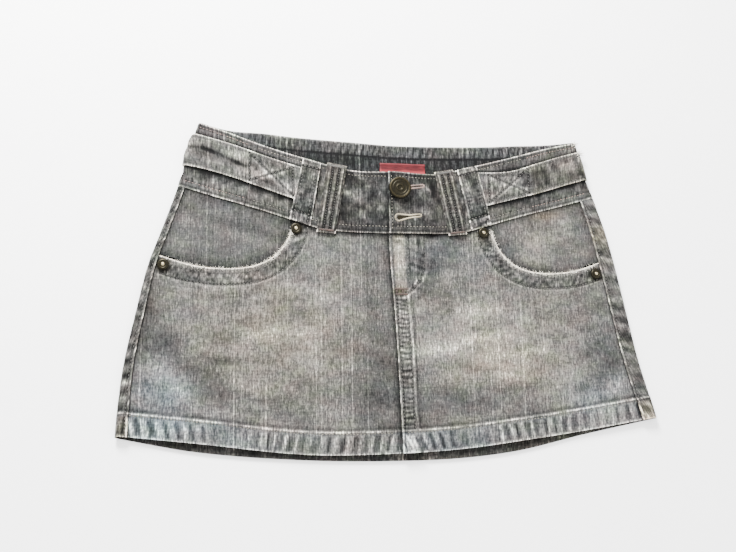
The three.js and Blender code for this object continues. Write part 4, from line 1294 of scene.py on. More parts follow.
def paint_shadow_beside_tabs(finish, side, x, y):
    """Painted shadow on the band along the lower and the upper edge of the tab, from the wide loop out."""
    out = np.maximum(np.abs(x), 50)
    under = strap_bottom[side](np.maximum(out, STRAP_INNER_END[side])) - y
    beyond = smooth(80, 90, np.abs(x)) * (SIDES[side] * x > 0)
    finish.shade += beyond * (0.42 * bump(under, 1.0, 2.2) + 0.1 * bump(under, 4, 4))
    finish.shade += beyond * 0.3 * bump(strap_top[side](out) - y, -1.0, 1.8)


def band_shares(height):
    rows = np.concatenate([BAND_ROWS / height, 1 - BAND_ROWS[::-1] / height])
    return rows[(rows < 0.5) == (np.arange(len(rows)) < len(BAND_ROWS))]


def waistband_front(side):
    share = band_shares(BAND_HEIGHT)[:, None]
    even = np.arange(0, BAND_JOIN - 0.006, 1.25 / BAND_HALF_WIDTH)
    before = np.linspace(-1, 0, 26)[:-1] if side == "right" else []
    close = EDGE_STEPS / BAND_HALF_WIDTH
    across = np.concatenate([before, close, even[even > close[-1]], [BAND_JOIN - 0.004, BAND_JOIN - 0.002]])
    x, y = band_front_place(side, across, share)
    height = band_top_front(x) - band_bottom_front(x)
    finish = Finish(x.shape, fade=0.44)
    finish.fade -= 0.13 * (1 - smooth(44, 66, np.abs(x)))
    add_band(finish, x, x, y, height * (1 - share), height * share, 91 + SEED_STEP[side])
    add_creases(finish, BAND_CREASES, x, y, 1)
    paint_shadow_beside_tabs(finish, side, x, y)
    past = x - BAND_CENTRE_X
    if side == "left":
        finish.wear += 0.6 * bump(past, 0, 1.1) * (0.85 + 0.3 * noise(y / 5, 0, 13))
        finish.relief -= 0.5 * bump(past, 0, 0.7)
        finish.stitched(past - 2.8, depth=0.2, shade=0.2)
    else:
        # painted shadow beside the edge of the left half of the band, which laps over this one
        finish.shade += 0.25 * smooth(-5, 0, past)
    dress_flat("waistband_front_" + side, x, y, front_band_low(side, x, y), BAND_CLOTH, finish,
               "washed_denim", washed_denim, "front_panel_" + side)


INSIDE_ROW = 13
BACK_BAND_COLUMNS = 120


def waistband_back():
    share = band_shares(BAND_HEIGHT)[:, None]
    halves = []
    for side in ("right", "left"):
        way = SIDES[side]
        side_y = BAND_SIDE_BOTTOM + (BAND_SIDE_TOP[side] - BAND_SIDE_BOTTOM) * share
        radius, height, middle = band_fold(side, side_y)
        foot, head = (band_fold(side, y)[2] for y in (BAND_SIDE_BOTTOM, BAND_SIDE_TOP[side]))

        def back_y(x):
            at = x / middle
            bottom, top = band_bottom_back(at * foot), band_top_back(way * at * head)
            return bottom + (top - bottom) * share

        flat_x = middle * np.linspace(0, 1, BACK_BAND_COLUMNS)
        flat_z = STRAP_LIFT * strap_share(side, flat_x, back_y(flat_x))
        _, front_y = band_front_place(side, 1.0, share)
        turns = np.linspace(0, 1, FOLD_STEPS + 1)[1:-1]
        angle = turns * np.pi
        fold_y = back_y(middle) + (front_y - back_y(middle)) * turns
        across = np.linspace(1, BAND_JOIN, 48)
        front_x, lap_y = band_front_place(side, across, share)
        front_z = front_band_low(side, front_x, lap_y)
        thin = radius - BAND_CLOTH
        halves.append({
            "x": np.concatenate([way * flat_x, way * (middle + radius * np.sin(angle)), front_x], 1),
            "y": np.concatenate([back_y(flat_x), fold_y, lap_y], 1),
            "z": np.concatenate([flat_z, height - radius * np.cos(angle), front_z + BAND_CLOTH], 1),
            "in_x": np.concatenate([way * flat_x, way * (middle + thin * np.sin(angle)), front_x], 1),
            "in_z": np.concatenate([flat_z + BAND_CLOTH, height - thin * np.cos(angle), front_z], 1),
            "out": np.concatenate([0 * flat_x, way * np.sin(angle) + 0 * fold_y, 0 * front_x], 1),
            "up": np.concatenate([0 * flat_x, -np.cos(angle) * (angle > 1.4) + 0 * fold_y,
                                  1 + 0 * front_x], 1),
            "run": way * np.concatenate([flat_x, middle + radius * angle,
                                         middle + radius * np.pi + middle - np.abs(front_x)], 1),
        })
    for half in halves:
        run = half["run"][:, BACK_BAND_COLUMNS + FOLD_STEPS - 1:]
        longest = np.abs(run) + np.abs(half["x"][:, BACK_BAND_COLUMNS + FOLD_STEPS - 1:])
        run += np.sign(run) * (longest.max() - longest)
    grid = {key: np.concatenate([halves[0][key][:, ::-1], halves[1][key][:, 1:]], 1) for key in halves[0]}
    x, y, run = grid["x"], grid["y"], grid["run"]
    height = y[-1] - y[0]
    from_top, from_bottom = height * (1 - share), height * share
    finish = Finish(x.shape, fade=0.45)
    add_band(finish, run, x, y, from_top, from_bottom, 101)
    for side in SIDES:
        paint_shadow_beside_tabs(finish, side, x, y)
    on_front = np.maximum(grid["up"], 0)
    outer = with_height(x + grid["out"] * finish.relief, y, grid["z"] + grid["up"] * finish.relief)
    inside = Finish(x.shape, fade=0.46)
    ribs = ripple(run + 0.3 * from_top, 6.4, 111) + 0.5 * ripple(run, 3.0, 112)
    near = smooth(1, 3, from_top) * (1 - smooth(INSIDE_ROW - 2, INSIDE_ROW, from_top))
    inside.raise_by(0.24 * ribs * near * (0.8 + 0.5 * noise(run / 17, 0, 113)), wear=1.1, shade=1.3)
    lower = smooth(INSIDE_ROW, INSIDE_ROW + 2, from_top) * (1 - smooth(24, 32, from_top))
    inside.raise_by(0.2 * ripple(run, 8, 114) * lower, wear=0.7, shade=1.0)
    inside.stitched(from_top - INSIDE_ROW, depth=0.3, width=1.2, shade=0.45)
    # painted shadow of the front's upper edge on the inside of the back band, below the inner row
    inside.shade += 0.16 * smooth(INSIDE_ROW - 1, INSIDE_ROW + 2, from_top)
    inside.wear += 0.35 * bump(from_top, 0.3, 1.0)
    inside.tint -= 0.12
    flat_part = 1 - np.maximum(on_front, np.abs(grid["out"]))
    lift = inside.relief * flat_part * smooth(0.4, 1.5, from_top)
    inner = with_height(grid["in_x"], y, grid["in_z"] + lift)
    flat = np.stack([run, y], -1)
    dress("waistband_back", outer, inner, flat, finish.look(), "denim_inside",
          [washed_denim, inside_denim], ["back_panel_right", "back_panel_left"],
          inner_look=inside.look(), inner_material=1)


for side in SIDES:
    waistband_front(side)
waistband_back()

# %% [markdown]
# ## Tabs over the waistband
#
# A tab starts under each wide loop, runs round the side and ends on the back. It is a folded strip
# with a row of stitches along each edge and a crossed box where it is sewn down. The right one has
# a dark crease along its middle, and the left one puckers upright beyond its box.

# %% Tabs
BOX = {"from": 97, "to": 138}
STRAP_ROW = 2.5
STRAP_CREASE = [(-205, 134), (-195, 132.4), (-182, 130.5), (-170, 126), (-158, 122), (-144, 116),
                (-132, 110)]
STRAP_WIDTH = 32
STRAP_FADE = {"right": 0.46, "left": 0.43}


def box_lines(side):
    """Edges and diagonals of the crossed box, as pairs of places at their distance out."""
    low_at = lambda x: (x, float(strap_bottom[side](x)) + STRAP_ROW)
    top_at = lambda x: (x, float(strap_top[side](x)) - STRAP_ROW)
    near, far = BOX["from"], BOX["to"]
    return [(low_at(near), top_at(near)), (low_at(far), top_at(far)),
            (low_at(near), top_at(far)), (top_at(near), low_at(far))]


def strap(side):
    way = SIDES[side]
    edges = np.array([0, 0.4, 0.9, 1.5, 2.2, 3, 4])
    share = np.concatenate([edges, np.arange(5, 28, 1.0), STRAP_WIDTH - edges[::-1]])[:, None] / STRAP_WIDTH

    def strap_y(out):
        return strap_bottom[side](out) + (strap_top[side](out) - strap_bottom[side](out)) * share

    fold_y = strap_bottom[side](STRAP_OUTER_X) + 0 * share
    for _ in range(5):
        fold_y = strap_y(band_fold(side, fold_y)[2])
    radius, height, middle = band_fold(side, fold_y)
    near = radius + SEAM_GAP
    front_x = STRAP_INNER_END[side] + (middle - STRAP_INNER_END[side]) * np.linspace(0, 1, 100)
    front_y = strap_y(front_x)
    front_z = front_band_low(side, way * front_x, front_y) + BAND_CLOTH + SEAM_GAP
    turns = np.linspace(0, 1, FOLD_STEPS + 1)[1:-1]
    angle = turns * np.pi
    back_x = middle - np.linspace(0, STRAP_BACK_LENGTH, 24)
    back_y = fold_y + band_top_back(way * back_x) - band_top_back(way * middle)
    far = near + STRAP_CLOTH
    x = np.concatenate([front_x, middle + far * np.sin(angle), back_x], 1)
    y = np.concatenate([front_y, fold_y + 0 * angle, back_y], 1)
    z = np.concatenate([front_z + STRAP_CLOTH, height + far * np.cos(angle), 0 * back_x], 1)
    in_x = np.concatenate([front_x, middle + near * np.sin(angle), back_x], 1)
    in_z = np.concatenate([front_z, height + near * np.cos(angle), STRAP_CLOTH + 0 * back_x], 1)
    run = np.concatenate([front_x, middle + far * angle, middle + far * np.pi + middle - back_x], 1)
    width = y[-1] - y[0]
    from_low, from_top = width * share, width * (1 - share)
    seed = 121 + SEED_STEP[side]
    finish = Finish(x.shape, fade=STRAP_FADE[side])
    for away in (from_low, from_top):
        finish.raise_by(0.16 * ripple(run, 4.6, seed) * bump(away, 5, 3), wear=1, shade=1.2)
        finish.stitched(away - STRAP_ROW, depth=0.22, shade=0.1)
        finish.wear += 0.62 * bump(away, 0.1, 0.95) * (0.8 + 0.3 * noise(run / 5, 0, seed + 1))
        finish.relief -= 0.45 * bump(away, 0, 0.7)
    for a, b in box_lines(side):
        away = near_line(np.array([a, b], float), run, y)[0]
        finish.stitched(away, depth=0.35, width=1.0, shade=0.34)
        finish.wear += 0.15 * bump(away, 2.2, 1)
    in_box = smooth(BOX["from"] - 2, BOX["from"] + 2, run) * (1 - smooth(BOX["to"] - 2, BOX["to"] + 2, run))
    body = smooth(3, 7, from_low) * smooth(3, 7, from_top)
    finish.raise_by(0.4 * noise(run / 4, y / 4, seed + 2) * in_box * body, wear=0.4, shade=0.6)
    beyond = smooth(BOX["to"], BOX["to"] + 6, run)
    if side == "right":
        crease = rounded_line(np.array(STRAP_CREASE, float), 40)
        away, along, side_of = near_line(crease, -x, y)
        signed = away * side_of
        keep = beyond * smooth(0, 0.06, along)
        uneven = 0.8 + 0.55 * noise(run / 6, 0, 3)
        finish.raise_by(-0.72 * bump(signed + 1.1 * noise(run / 7, 0, 5), 0, 1.7) * keep * uneven, shade=0.72)
        finish.raise_by(0.5 * bump(signed, 6.5, 5) * keep + 0.35 * bump(signed, -7, 5) * keep, wear=0.3)
    else:
        ribs = (0.8 * ripple(run + 0.25 * from_low, 11, seed + 4)
                + 0.5 * noise(run / 5, from_low / 9, seed + 5))
        finish.raise_by(0.26 * ribs * body * beyond, wear=0.8, shade=0.9)
        finish.tint += 0.1 * beyond
    finish.raise_by(0.35 * noise(run / 14, y / 9, seed + 6) * body, wear=0.6, shade=0.5)
    turned = np.concatenate([0 * front_x[0], angle, np.pi + 0 * back_x[0]])
    away_from_floor = smooth(-0.5, 0.8, np.cos(turned))
    outward = np.concatenate([0 * front_x[0], np.sin(angle), 0 * back_x[0]])
    outer = with_height(way * (x + outward * finish.relief), y, z + away_from_floor * finish.relief)
    inner = with_height(way * in_x, y, in_z)
    flat = np.stack([way * run, from_low + 0 * run], -1)
    dress("strap_" + side, outer, inner, flat, finish.look(), "washed_denim", [washed_denim],
          ["waistband_front_" + side, "waistband_back"])


for side in SIDES:
    strap(side)

# %% [markdown]
# ## Loops
#
# The wide loop is a flat doubled strip that hides the tab's end. The narrow one is the belt loop:
# a strip folded in three and stitched flat, so it has three ridges and pale folded edges.

# %% Loops
WIDE_LOOP = {
    "right": {"top": (-87.3, 124.6, -70.3, 120.4), "bottom": (-100.4, 65.1, -80.8, 58.9)},
    "left": {"top": (84.1, 124, 64.4, 118.4), "bottom": (97.4, 65.2, 77, 59.4)},
}
NARROW_LOOP = {
    "right": {"top": (-64, 121.6, -45.2, 118.6), "bottom": (-75, 53, -57, 51.6)},
    "left": {"top": (60.2, 119.2, 41.4, 115.6), "bottom": (72.2, 54, 54.2, 52)},
}
WIDE_LOOP_CLOTH, NARROW_LOOP_CLOTH, NARROW_LOOP_ARCH = 1.4, 2.2, 1
WIDE_LOOP_SEAMS = (9.5, 54)
WIDE_LOOP_LENGTH = 60.5


def loop_grid(side, corners, rows, columns):
    outer_top_x, outer_top_y, inner_top_x, inner_top_y = corners["top"]
    outer_low_x, outer_low_y, inner_low_x, inner_low_y = corners["bottom"]
    up, across = np.linspace(0, 1, rows)[:, None], np.linspace(0, 1, columns)
    low_x = outer_low_x + (inner_low_x - outer_low_x) * across
    low_y = outer_low_y + (inner_low_y - outer_low_y) * across
    x = low_x + (outer_top_x + (inner_top_x - outer_top_x) * across - low_x) * up
    y = low_y + (outer_top_y + (inner_top_y - outer_top_y) * across - low_y) * up
    length = math.hypot(outer_top_x - outer_low_x, outer_top_y - outer_low_y)
    width = math.hypot(inner_low_x - outer_low_x, inner_low_y - outer_low_y)
    low_z = front_band_low(side, x, y) + BAND_CLOTH + SEAM_GAP
    return x, y, low_z, up * length + 0 * x, across * width + 0 * x, length, width


def wide_loop(side):
    x, y, low_z, run, across, length, width = loop_grid(side, WIDE_LOOP[side], 74, 27)
    out = np.maximum(np.abs(x), STRAP_INNER_END[side])
    bottom, top = strap_bottom[side](out), strap_top[side](out)
    low_z = low_z + STRAP_LIFT * smooth(-12, -3.5, y - bottom) * (1 - smooth(2.5, 7, y - top))
    seed = 131 + SEED_STEP[side]
    finish = Finish(x.shape, fade=0.34)
    for away in (across, width - across):
        finish.wear += 0.62 * bump(away, 0, 0.85)
        finish.relief -= 0.45 * bump(away, 0, 0.8)
        finish.stitched(away - 3.0, depth=0.25, shade=0.14)
        finish.raise_by(0.16 * ripple(run, 4.6, seed) * bump(away, 5, 2.4), wear=1, shade=1.2)
    for k, at in enumerate(WIDE_LOOP_SEAMS):
        finish.stitched(run - at, depth=0.35, width=1.1, shade=0.5)
        finish.wear += 0.3 * bump(run, at + (2.2 if k else -2.2), 1.1)
    foot = 1 - smooth(WIDE_LOOP_SEAMS[0] - 2, WIDE_LOOP_SEAMS[0], run)
    finish.raise_by(0.3 * noise(across / 2.6, run / 2.6, seed) * foot, wear=1.1, shade=1.0)
    finish.raise_by(0.3 * noise(across / 4, run / 9, seed + 1), wear=0.9, shade=0.8)
    finish.wear += 0.4 * (bump(run, 0, 1.1) + bump(run, length, 1.1))
    finish.relief -= 0.4 * (bump(run, 0, 0.7) + bump(run, length, 0.7))
    dress_flat("loop_wide_" + side, x, y, low_z, WIDE_LOOP_CLOTH, finish, "washed_denim",
               washed_denim, "strap_" + side, [across, run])


def narrow_loop(side):
    x, y, low_z, run, across, length, width = loop_grid(side, NARROW_LOOP[side], 78, 34)
    up = run / length
    low_z = low_z + NARROW_LOOP_ARCH * smooth(0.02, 0.2, up) * (1 - smooth(0.82, 1, up))
    seed = 141 + SEED_STEP[side]
    finish = Finish(x.shape, fade=0.31)
    ridges = np.cos(2 * np.pi * 3 * across / width + np.pi)
    inside = smooth(1, 5, run) * smooth(1, 6, length - run)
    finish.raise_by(0.4 * ridges * inside, wear=0.1, shade=1.05)
    finish.wear += 0.42 * np.maximum(ridges, 0) ** 7 * inside * (0.8 + 0.4 * noise(run / 7, across / 6, seed))
    finish.raise_by(0.1 * ripple(run, 4.4, seed, across / 6), wear=0.9, shade=0.8)
    for away in (across, width - across):
        finish.wear += 0.66 * bump(away, 0, 0.95)
        finish.relief -= 0.6 * bump(away, 0, 0.9)
    finish.wear += 0.4 * (bump(run, 0, 1.3) + bump(run, length, 1.3))
    finish.relief -= 0.7 * (bump(run, 0, 1.0) + bump(run, length, 1.0))
    finish.tint += 0.12
    dress_flat("loop_narrow_" + side, x, y, low_z, NARROW_LOOP_CLOTH, finish, "washed_denim",
               washed_denim, "waistband_front_" + side, [across, run])


for side in SIDES:
    wide_loop(side)
    narrow_loop(side)

# %% [markdown]
# ## Tab inside the waist
#
# A small plain red tab is sewn inside the back of the waist. It is woven from shiny yarn, so it
# has fine level ribs, a folded upper edge and a paler woven border, and it lies in a slight wave.

# %% Red cloth and zip tape
def ribbed_cloth(name, colour, pale, rib, roughness=0.6):
    material, tree, shader = new_material(name)
    ribs = threads(tree, 9, rib, detail=1)
    look = node(tree, "Attribute", attribute_name="look")
    wear = node(tree, "SeparateColor", [("Color", look.outputs["Color"])]).outputs[0]
    lighter = weighted(tree, [(wear, 1.0), (ribs, 0.9)], -0.4)
    tone = blended(tree, srgb(*colour), between(tree, lighter, 0, 1), srgb(*pale))
    relief = node(tree, "Bump", [("Strength", 0.5), ("Distance", 0.0002), ("Height", ribs)])
    complete(tree, shader, tone, {"Roughness": roughness, "Specular IOR Level": 0.15}, relief)
    return material


red_cloth = ribbed_cloth("red tab cloth", (44, 0, 4), (142, 48, 52), 0.45)
zip_tape = ribbed_cloth("zip tape", (48, 48, 54), (92, 92, 98), 0.7, roughness=0.8)

# %% Waist tab
LABEL = {"from": -12, "to": 33, "top": 124.5, "bottom": 99}


def waist_label():
    steps = np.array([0, 0.4, 0.9])
    x = np.concatenate([LABEL["from"] + steps, np.linspace(LABEL["from"] + 2, LABEL["to"] - 2, 44),
                        LABEL["to"] - steps[::-1]])
    y = np.concatenate([LABEL["bottom"] + steps, np.linspace(LABEL["bottom"] + 2, LABEL["top"] - 2, 24),
                        LABEL["top"] - steps[::-1]])[:, None]
    x, y = np.broadcast_arrays(x, y)
    finish = Finish(x.shape)
    edge = np.minimum(np.minimum(x - LABEL["from"], LABEL["to"] - x), LABEL["top"] - y)
    finish.relief += 0.3 * noise(x / 9, y / 14, 151) * smooth(0, 3, edge)
    finish.relief += 0.25 * bump(LABEL["top"] - y, 1.2, 1.0) - 0.3 * bump(edge, 0, 0.6)
    finish.wear += 0.75 * (1 - smooth(114.5, 119, y)) + 0.2 * bump(edge, 0.3, 0.8)
    finish.wear -= 0.3 * bump(LABEL["top"] - y, 3.2, 1.4)
    dress_flat("waist_label", x, y, BAND_CLOTH + SEAM_GAP, LABEL_CLOTH, finish, "red_label_cloth",
               red_cloth, "waistband_back")


waist_label()

# %% [markdown]
# ## Zip
#
# The closed zip lies hidden between the right front's edge and the fly. Its tape is a sheet, and
# its teeth are one small tooth, modelled from a cube and copied down both sides of the middle.

# %% Zip tape
ZIP = {"width": 17, "top": 50, "bottom": 8, "tape": 0.45}
TOOTH_PITCH = 1.6


def zip_place(across, y):
    return centre_front(y) + PANEL_UNDERLAP + SEAM_GAP + ZIP["width"] * across


def fly_zip():
    y = np.linspace(ZIP["bottom"], ZIP["top"], 30)[:, None]
    across = np.linspace(0, 1, 16)
    x = zip_place(across, y)
    dress_flat("fly_zip", x, y + 0 * x, FRONT_LEVEL, ZIP["tape"], Finish(x.shape), "zip_tape",
               zip_tape, "front_panel_right")


fly_zip()

# %% [markdown]
# ## Copies of one small shape
#
# Teeth and stitches repeat by the hundred, so each shape is modelled once, with few faces, and its
# copies are laid out in one mesh: a copy is the shape's points turned to a direction and a normal.


# %% Copies along a seam
def edit_selected(thing, kind, chosen):
    """Enters edit mode with only the chosen faces or points selected."""
    bpy.ops.object.mode_set(mode="EDIT")
    bpy.ops.mesh.select_mode(type=kind)
    bpy.ops.mesh.select_all(action="DESELECT")
    bpy.ops.object.mode_set(mode="OBJECT")
    for part in thing.data.polygons if kind == "FACE" else thing.data.vertices:
        part.select = chosen(part)
    bpy.ops.object.mode_set(mode="EDIT")


def take_shape(thing):
    """Points and faces of a modelled shape, which is then removed."""
    points = np.array([v.co for v in thing.data.vertices])
    faces = [tuple(p.vertices) for p in thing.data.polygons]
    bpy.data.objects.remove(thing)
    return points, faces


def copies(name, shape, places, along, normals, scales, material):
    """One mesh with a copy of the shape at each place, its X along the seam and its Z up."""
    points, faces = shape
    normals = normals / np.linalg.norm(normals, axis=1)[:, None]
    along = along - (along * normals).sum(1)[:, None] * normals
    along /= np.linalg.norm(along, axis=1)[:, None]
    across = np.cross(normals, along)
    turned = (points[None, :, 0, None] * scales[:, None, 0, None] * along[:, None]
              + points[None, :, 1, None] * scales[:, None, 1, None] * across[:, None]
              + points[None, :, 2, None] * scales[:, None, 2, None] * normals[:, None])
    vertices = (turned + places[:, None]).reshape(-1, 3)
    every = [tuple(i + k * len(points) for i in face) for k in range(len(places)) for face in faces]
    mesh = bpy.data.meshes.new(name)
    mesh.from_pydata(vertices.tolist(), [], every)
    mesh.shade_smooth()
    mesh.materials.append(material)
    piece = bpy.data.objects.new(name, mesh)
    bpy.context.scene.collection.objects.link(piece)
    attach(piece, "root")
    return piece


# %% [markdown]
# A zip tooth is cast metal: a block clamped on the tape's edge, with a narrower head that meets the
# other side's teeth. The block is a cube, and the head is drawn out of its end face.

# %% Zip teeth
ZIP_HEIGHT, TOOTH_LENGTH = 0.6, 1.7
deselect()
bpy.ops.mesh.primitive_cube_add(size=1)
tooth_maker = bpy.context.object
edit_selected(tooth_maker, "FACE", lambda face: face.normal.x > 0.9)
bpy.ops.mesh.extrude_region_move(TRANSFORM_OT_translate={"value": (0.35, 0, 0)})
bpy.ops.transform.resize(value=(1, 0.55, 0.8))
bpy.ops.mesh.extrude_region_move(TRANSFORM_OT_translate={"value": (0.3, 0, 0)})
bpy.ops.object.mode_set(mode="OBJECT")
tooth = take_shape(tooth_maker)
zip_metal, tree, shader = new_material("zip metal")
tone = blended(tree, srgb(40, 36, 26), grain_on(tree, 700.0), srgb(92, 84, 62))
complete(tree, shader, tone, {"Metallic": 0.9, "Roughness": 0.4})
count = int((ZIP["top"] - ZIP["bottom"] - 4) / TOOTH_PITCH)
for way in (-1, 1):
    y = ZIP["bottom"] + 2 + TOOTH_PITCH * (np.arange(count) + 0.25 * (way + 1))
    x = zip_place(0.5, y) + way * 1.35
    places = metres(np.stack([x, y, FRONT_LEVEL + ZIP["tape"] + ZIP_HEIGHT / 2 + 0 * x], -1))
    size = np.tile([TOOTH_LENGTH, TOOTH_PITCH * 0.45, ZIP_HEIGHT], (count, 1)) * MM
    row = copies("zip_teeth_" + ("right" if way < 0 else "left"), tooth, places,
                 np.tile([-way, 0.0, 0], (count, 1)), np.tile([0, 0, 1.0], (count, 1)), size, zip_metal)
    row.data.shade_flat()
    sheets["fly_zip"]["sewn"].append(row)
print("the zip has", 2 * count, "teeth")

# %% [markdown]
# ## Antique brass
#
# Buttons and rivets on washed denim are brass with a dark olive patina. Rubbed places show the bare
# metal: the top of the rims and the nub in the middle of each rivet, whose pale colour is also a
# painted highlight.


# %% Antique brass
def antique_brass(name, bare_from, bare_to, bare=(62, 54, 33)):
    """Patina below one height and bare metal above another, in millimetres."""
    material, tree, shader = new_material(name)
    place = node(tree, "TexCoord").outputs["Object"]
    height = node(tree, "SeparateXYZ", [("Vector", place)]).outputs["Z"]
    rubbed = between(tree, height, bare_from * MM, bare_to * MM)
    grain = grain_on(tree, 900.0, 3.0)
    patina = blended(tree, srgb(10, 9, 4), between(tree, grain, 0.3, 0.7), srgb(30, 26, 13))
    worn = node(tree, "Math", [(0, rubbed), (1, between(tree, grain, 0.25, 0.55, 0.35, 1.0))],
                operation="MULTIPLY").outputs[0]
    tone = blended(tree, patina, worn, srgb(*bare))
    relief = node(tree, "Bump", [("Strength", 0.3), ("Distance", 0.0001), ("Height", grain)])
    complete(tree, shader, tone, {"Metallic": 0.85, "Roughness": 0.42}, relief)
    return material


# %% [markdown]
# The button is made as on a lathe, but by insets: a disc's top face is inset and moved up or down
# again and again, which leaves the rim, the ring, the dished face and the hollow stud.


# %% Fly button
def disc(name, radius, thickness, sides, place):
    deselect()
    x, y, z = place
    bpy.ops.mesh.primitive_cylinder_add(vertices=sides, radius=radius * MM, depth=thickness * MM,
                                        location=(x, y, z + thickness * MM / 2))
    thing = bpy.context.object
    thing.name = name
    bpy.ops.object.transform_apply(location=True, rotation=True, scale=True)
    return thing


def select_face(thing, facing):
    """Enters edit mode with the one large face selected that looks up or down."""
    caps = [face for face in thing.data.polygons if face.normal.z * facing > 0.9]
    cap = max(caps, key=lambda face: face.area).index
    edit_selected(thing, "FACE", lambda face: face.index == cap)


def inset_steps(thing, facing, steps):
    """Insets a face by each width and moves it out by each rise, in millimetres."""
    select_face(thing, facing)
    for width, rise in steps:
        bpy.ops.mesh.inset(thickness=width * MM, depth=0)
        bpy.ops.transform.translate(value=(0, 0, facing * rise * MM))
    bpy.ops.object.mode_set(mode="OBJECT")


def finish_metal(thing, material, bevel):
    modifier = thing.modifiers.new("bevel", "BEVEL")
    modifier.width, modifier.segments, modifier.limit_method = bevel * MM, 2, "ANGLE"
    modifier.angle_limit = math.radians(28)
    bpy.ops.object.modifier_apply(modifier="bevel")
    bpy.ops.object.shade_smooth_by_angle(angle=math.radians(40))
    thing.data.materials.append(material)
    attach(thing, "root")


BUTTON_RINGS = [(0.25, 0.35), (0.9, 0.65), (0.9, 0.05), (0.5, -0.55), (1.1, -0.15), (0.35, 0.32),
                (0.5, 0.02), (0.35, -0.32), (2.2, -0.1), (0.4, 0.5), (1.0, 0.1), (0.35, -0.5),
                (0.6, -0.4)]
BUTTON_BACK = [(1.6, 0.3), (2.4, 0.4)]
low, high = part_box("button")
middle = ((low.x + high.x) / 2, (low.y + high.y) / 2, low.z + 0.7 * MM)
button = disc("fly_button", BUTTON["radius"], 1.6, 48, middle)
inset_steps(button, 1, BUTTON_RINGS)
inset_steps(button, -1, BUTTON_BACK)
foot = low.z / MM
finish_metal(button, antique_brass("antique brass of the button", foot + 3.0, foot + 3.9), 0.12)
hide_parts("button")
print("button has", len(button.data.polygons), "faces")

# %% [markdown]
# One rivet is modelled in the same way and copied to the four pocket corners, each copy with its
# own mesh. Its nub is polished by wear, and its bare metal is painted far paler than the button's,
# as a painted highlight.

# %% Rivets
RIVET_RADIUS = 5.2
RIVET_RINGS = [(0.35, 0.35), (0.8, 0.35), (0.7, 0.0), (0.45, -0.28), (0.75, 0), (0.5, 0.3),
               (0.35, 0.35), (0.3, 0.12)]
RIVETS = ["rivet_inner_right", "rivet_outer_right", "rivet_inner_left", "rivet_outer_left"]
corner = [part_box(name) for name in RIVETS]
rivet = disc("first_rivet", RIVET_RADIUS, 0.5, 32, (0, 0, 0))
inset_steps(rivet, 1, RIVET_RINGS)
for name, (low, high) in zip(RIVETS, corner):
    copy = rivet.copy()
    copy.data = rivet.data.copy()
    copy.name = name + "_cap"
    bpy.context.scene.collection.objects.link(copy)
    copy.data.transform(Matrix.Translation(((low.x + high.x) / 2, (low.y + high.y) / 2, low.z)))
    deselect()
    copy.select_set(True)
    bpy.context.view_layer.objects.active = copy
    rim = low.z / MM + 1.2
    # the nub's pale bare colour is polished brass and also a painted highlight
    brass = antique_brass("antique brass of " + name, rim, rim + 0.5, bare=(168, 156, 124))
    finish_metal(copy, brass, 0.1)
    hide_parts(name)
bpy.data.objects.remove(rivet)
print(len(RIVETS), "rivets placed")

# %% [markdown]
# ## Thread
#
# The seams are sewn with thick thread. A stitch is a small pillow with its two ends pressed into
# the cloth: a sphere with few faces, drawn out and bent down at both ends. Grey thread has faded
# with the cloth, cream thread edges the button holes, and rust thread makes the bar tacks.


# %% Threads
def thread(name, colour, faded, spread=0.5):
    material, tree, shader = new_material(name)
    place = node(tree, "TexCoord").outputs["Object"]
    twist = node(tree, "TexWave", [("Vector", place), ("Scale", 500.0), ("Distortion", 3.0)]).outputs["Fac"]
    amount = between(tree, grain_on(tree, 110.0, 4.0), 0.5 - spread / 2, 0.5 + spread / 2)
    tone = blended(tree, srgb(*colour), amount, srgb(*faded))
    shaded = dyed(tree, tone, between(tree, twist, 0, 1, 0.5, 0.0), srgb(150, 148, 146))
    complete(tree, shader, shaded, {"Roughness": 0.8, "Sheen Weight": 0.1})
    return material


grey_thread = thread("grey thread", (26, 25, 24), (84, 81, 75))
pale_thread = thread("pale thread", (38, 36, 33), (124, 118, 104))
cream_thread = thread("cream thread", (112, 102, 80), (196, 184, 156))
rust_thread = thread("rust thread", (30, 19, 13), (66, 44, 33))
rose_thread = thread("faded rose thread", (66, 52, 47), (150, 124, 112))

# %% One stitch
deselect()
bpy.ops.mesh.primitive_uv_sphere_add(segments=6, ring_count=5, radius=0.5, rotation=(0, math.pi / 2, 0))
stitch_maker = bpy.context.object
bpy.ops.object.transform_apply(location=False, rotation=True, scale=False)
edit_selected(stitch_maker, "VERT", lambda point: abs(point.co.x) > 0.35)
bpy.ops.transform.translate(value=(0, 0, -0.35))
bpy.ops.object.mode_set(mode="OBJECT")
stitch = take_shape(stitch_maker)
print("a stitch has", len(stitch[1]), "faces")

# %% Sewing on a sheet
STITCH_WIDTH, STITCH_HEIGHT, STITCH_GAP = 0.72, 0.5, 0.7
trees = {}
for name, facts in sheets.items():
    mesh = facts["piece"].data
    trees[name] = BVHTree.FromPolygons([v.co for v in mesh.vertices], [p.vertices for p in mesh.polygons])
hand = np.random.RandomState(5)


def cast_down(sheet_name, x, y):
    """Point and normal of a sheet's upper face at a place in metres, or None and None."""
    return trees[sheet_name].ray_cast(Vector((x, y, 1)), Vector((0, 0, -1)))[:2]


def lay(name, shape, sheet_name, places, along, scales, material, sink=0.04):
    """Lays copies of a shape on the upper face of a sheet at these places, in millimetres."""
    found, turned, sized, up = [], [], [], []
    for place, direction, scale in zip(places, along, scales):
        x, y, _ = metres((*place, 0))
        hit, normal = cast_down(sheet_name, x, y)
        if hit is None:
            continue
        found.append(hit - normal * sink * MM)
        up.append(normal)
        turned.append((*direction, 0))
        sized.append(scale)
    piece = copies(name, shape, np.array(found), np.array(turned, float), np.array(up),
                   np.array(sized) * MM, material)
    sheets[sheet_name]["sewn"].append(piece)
    return len(found)


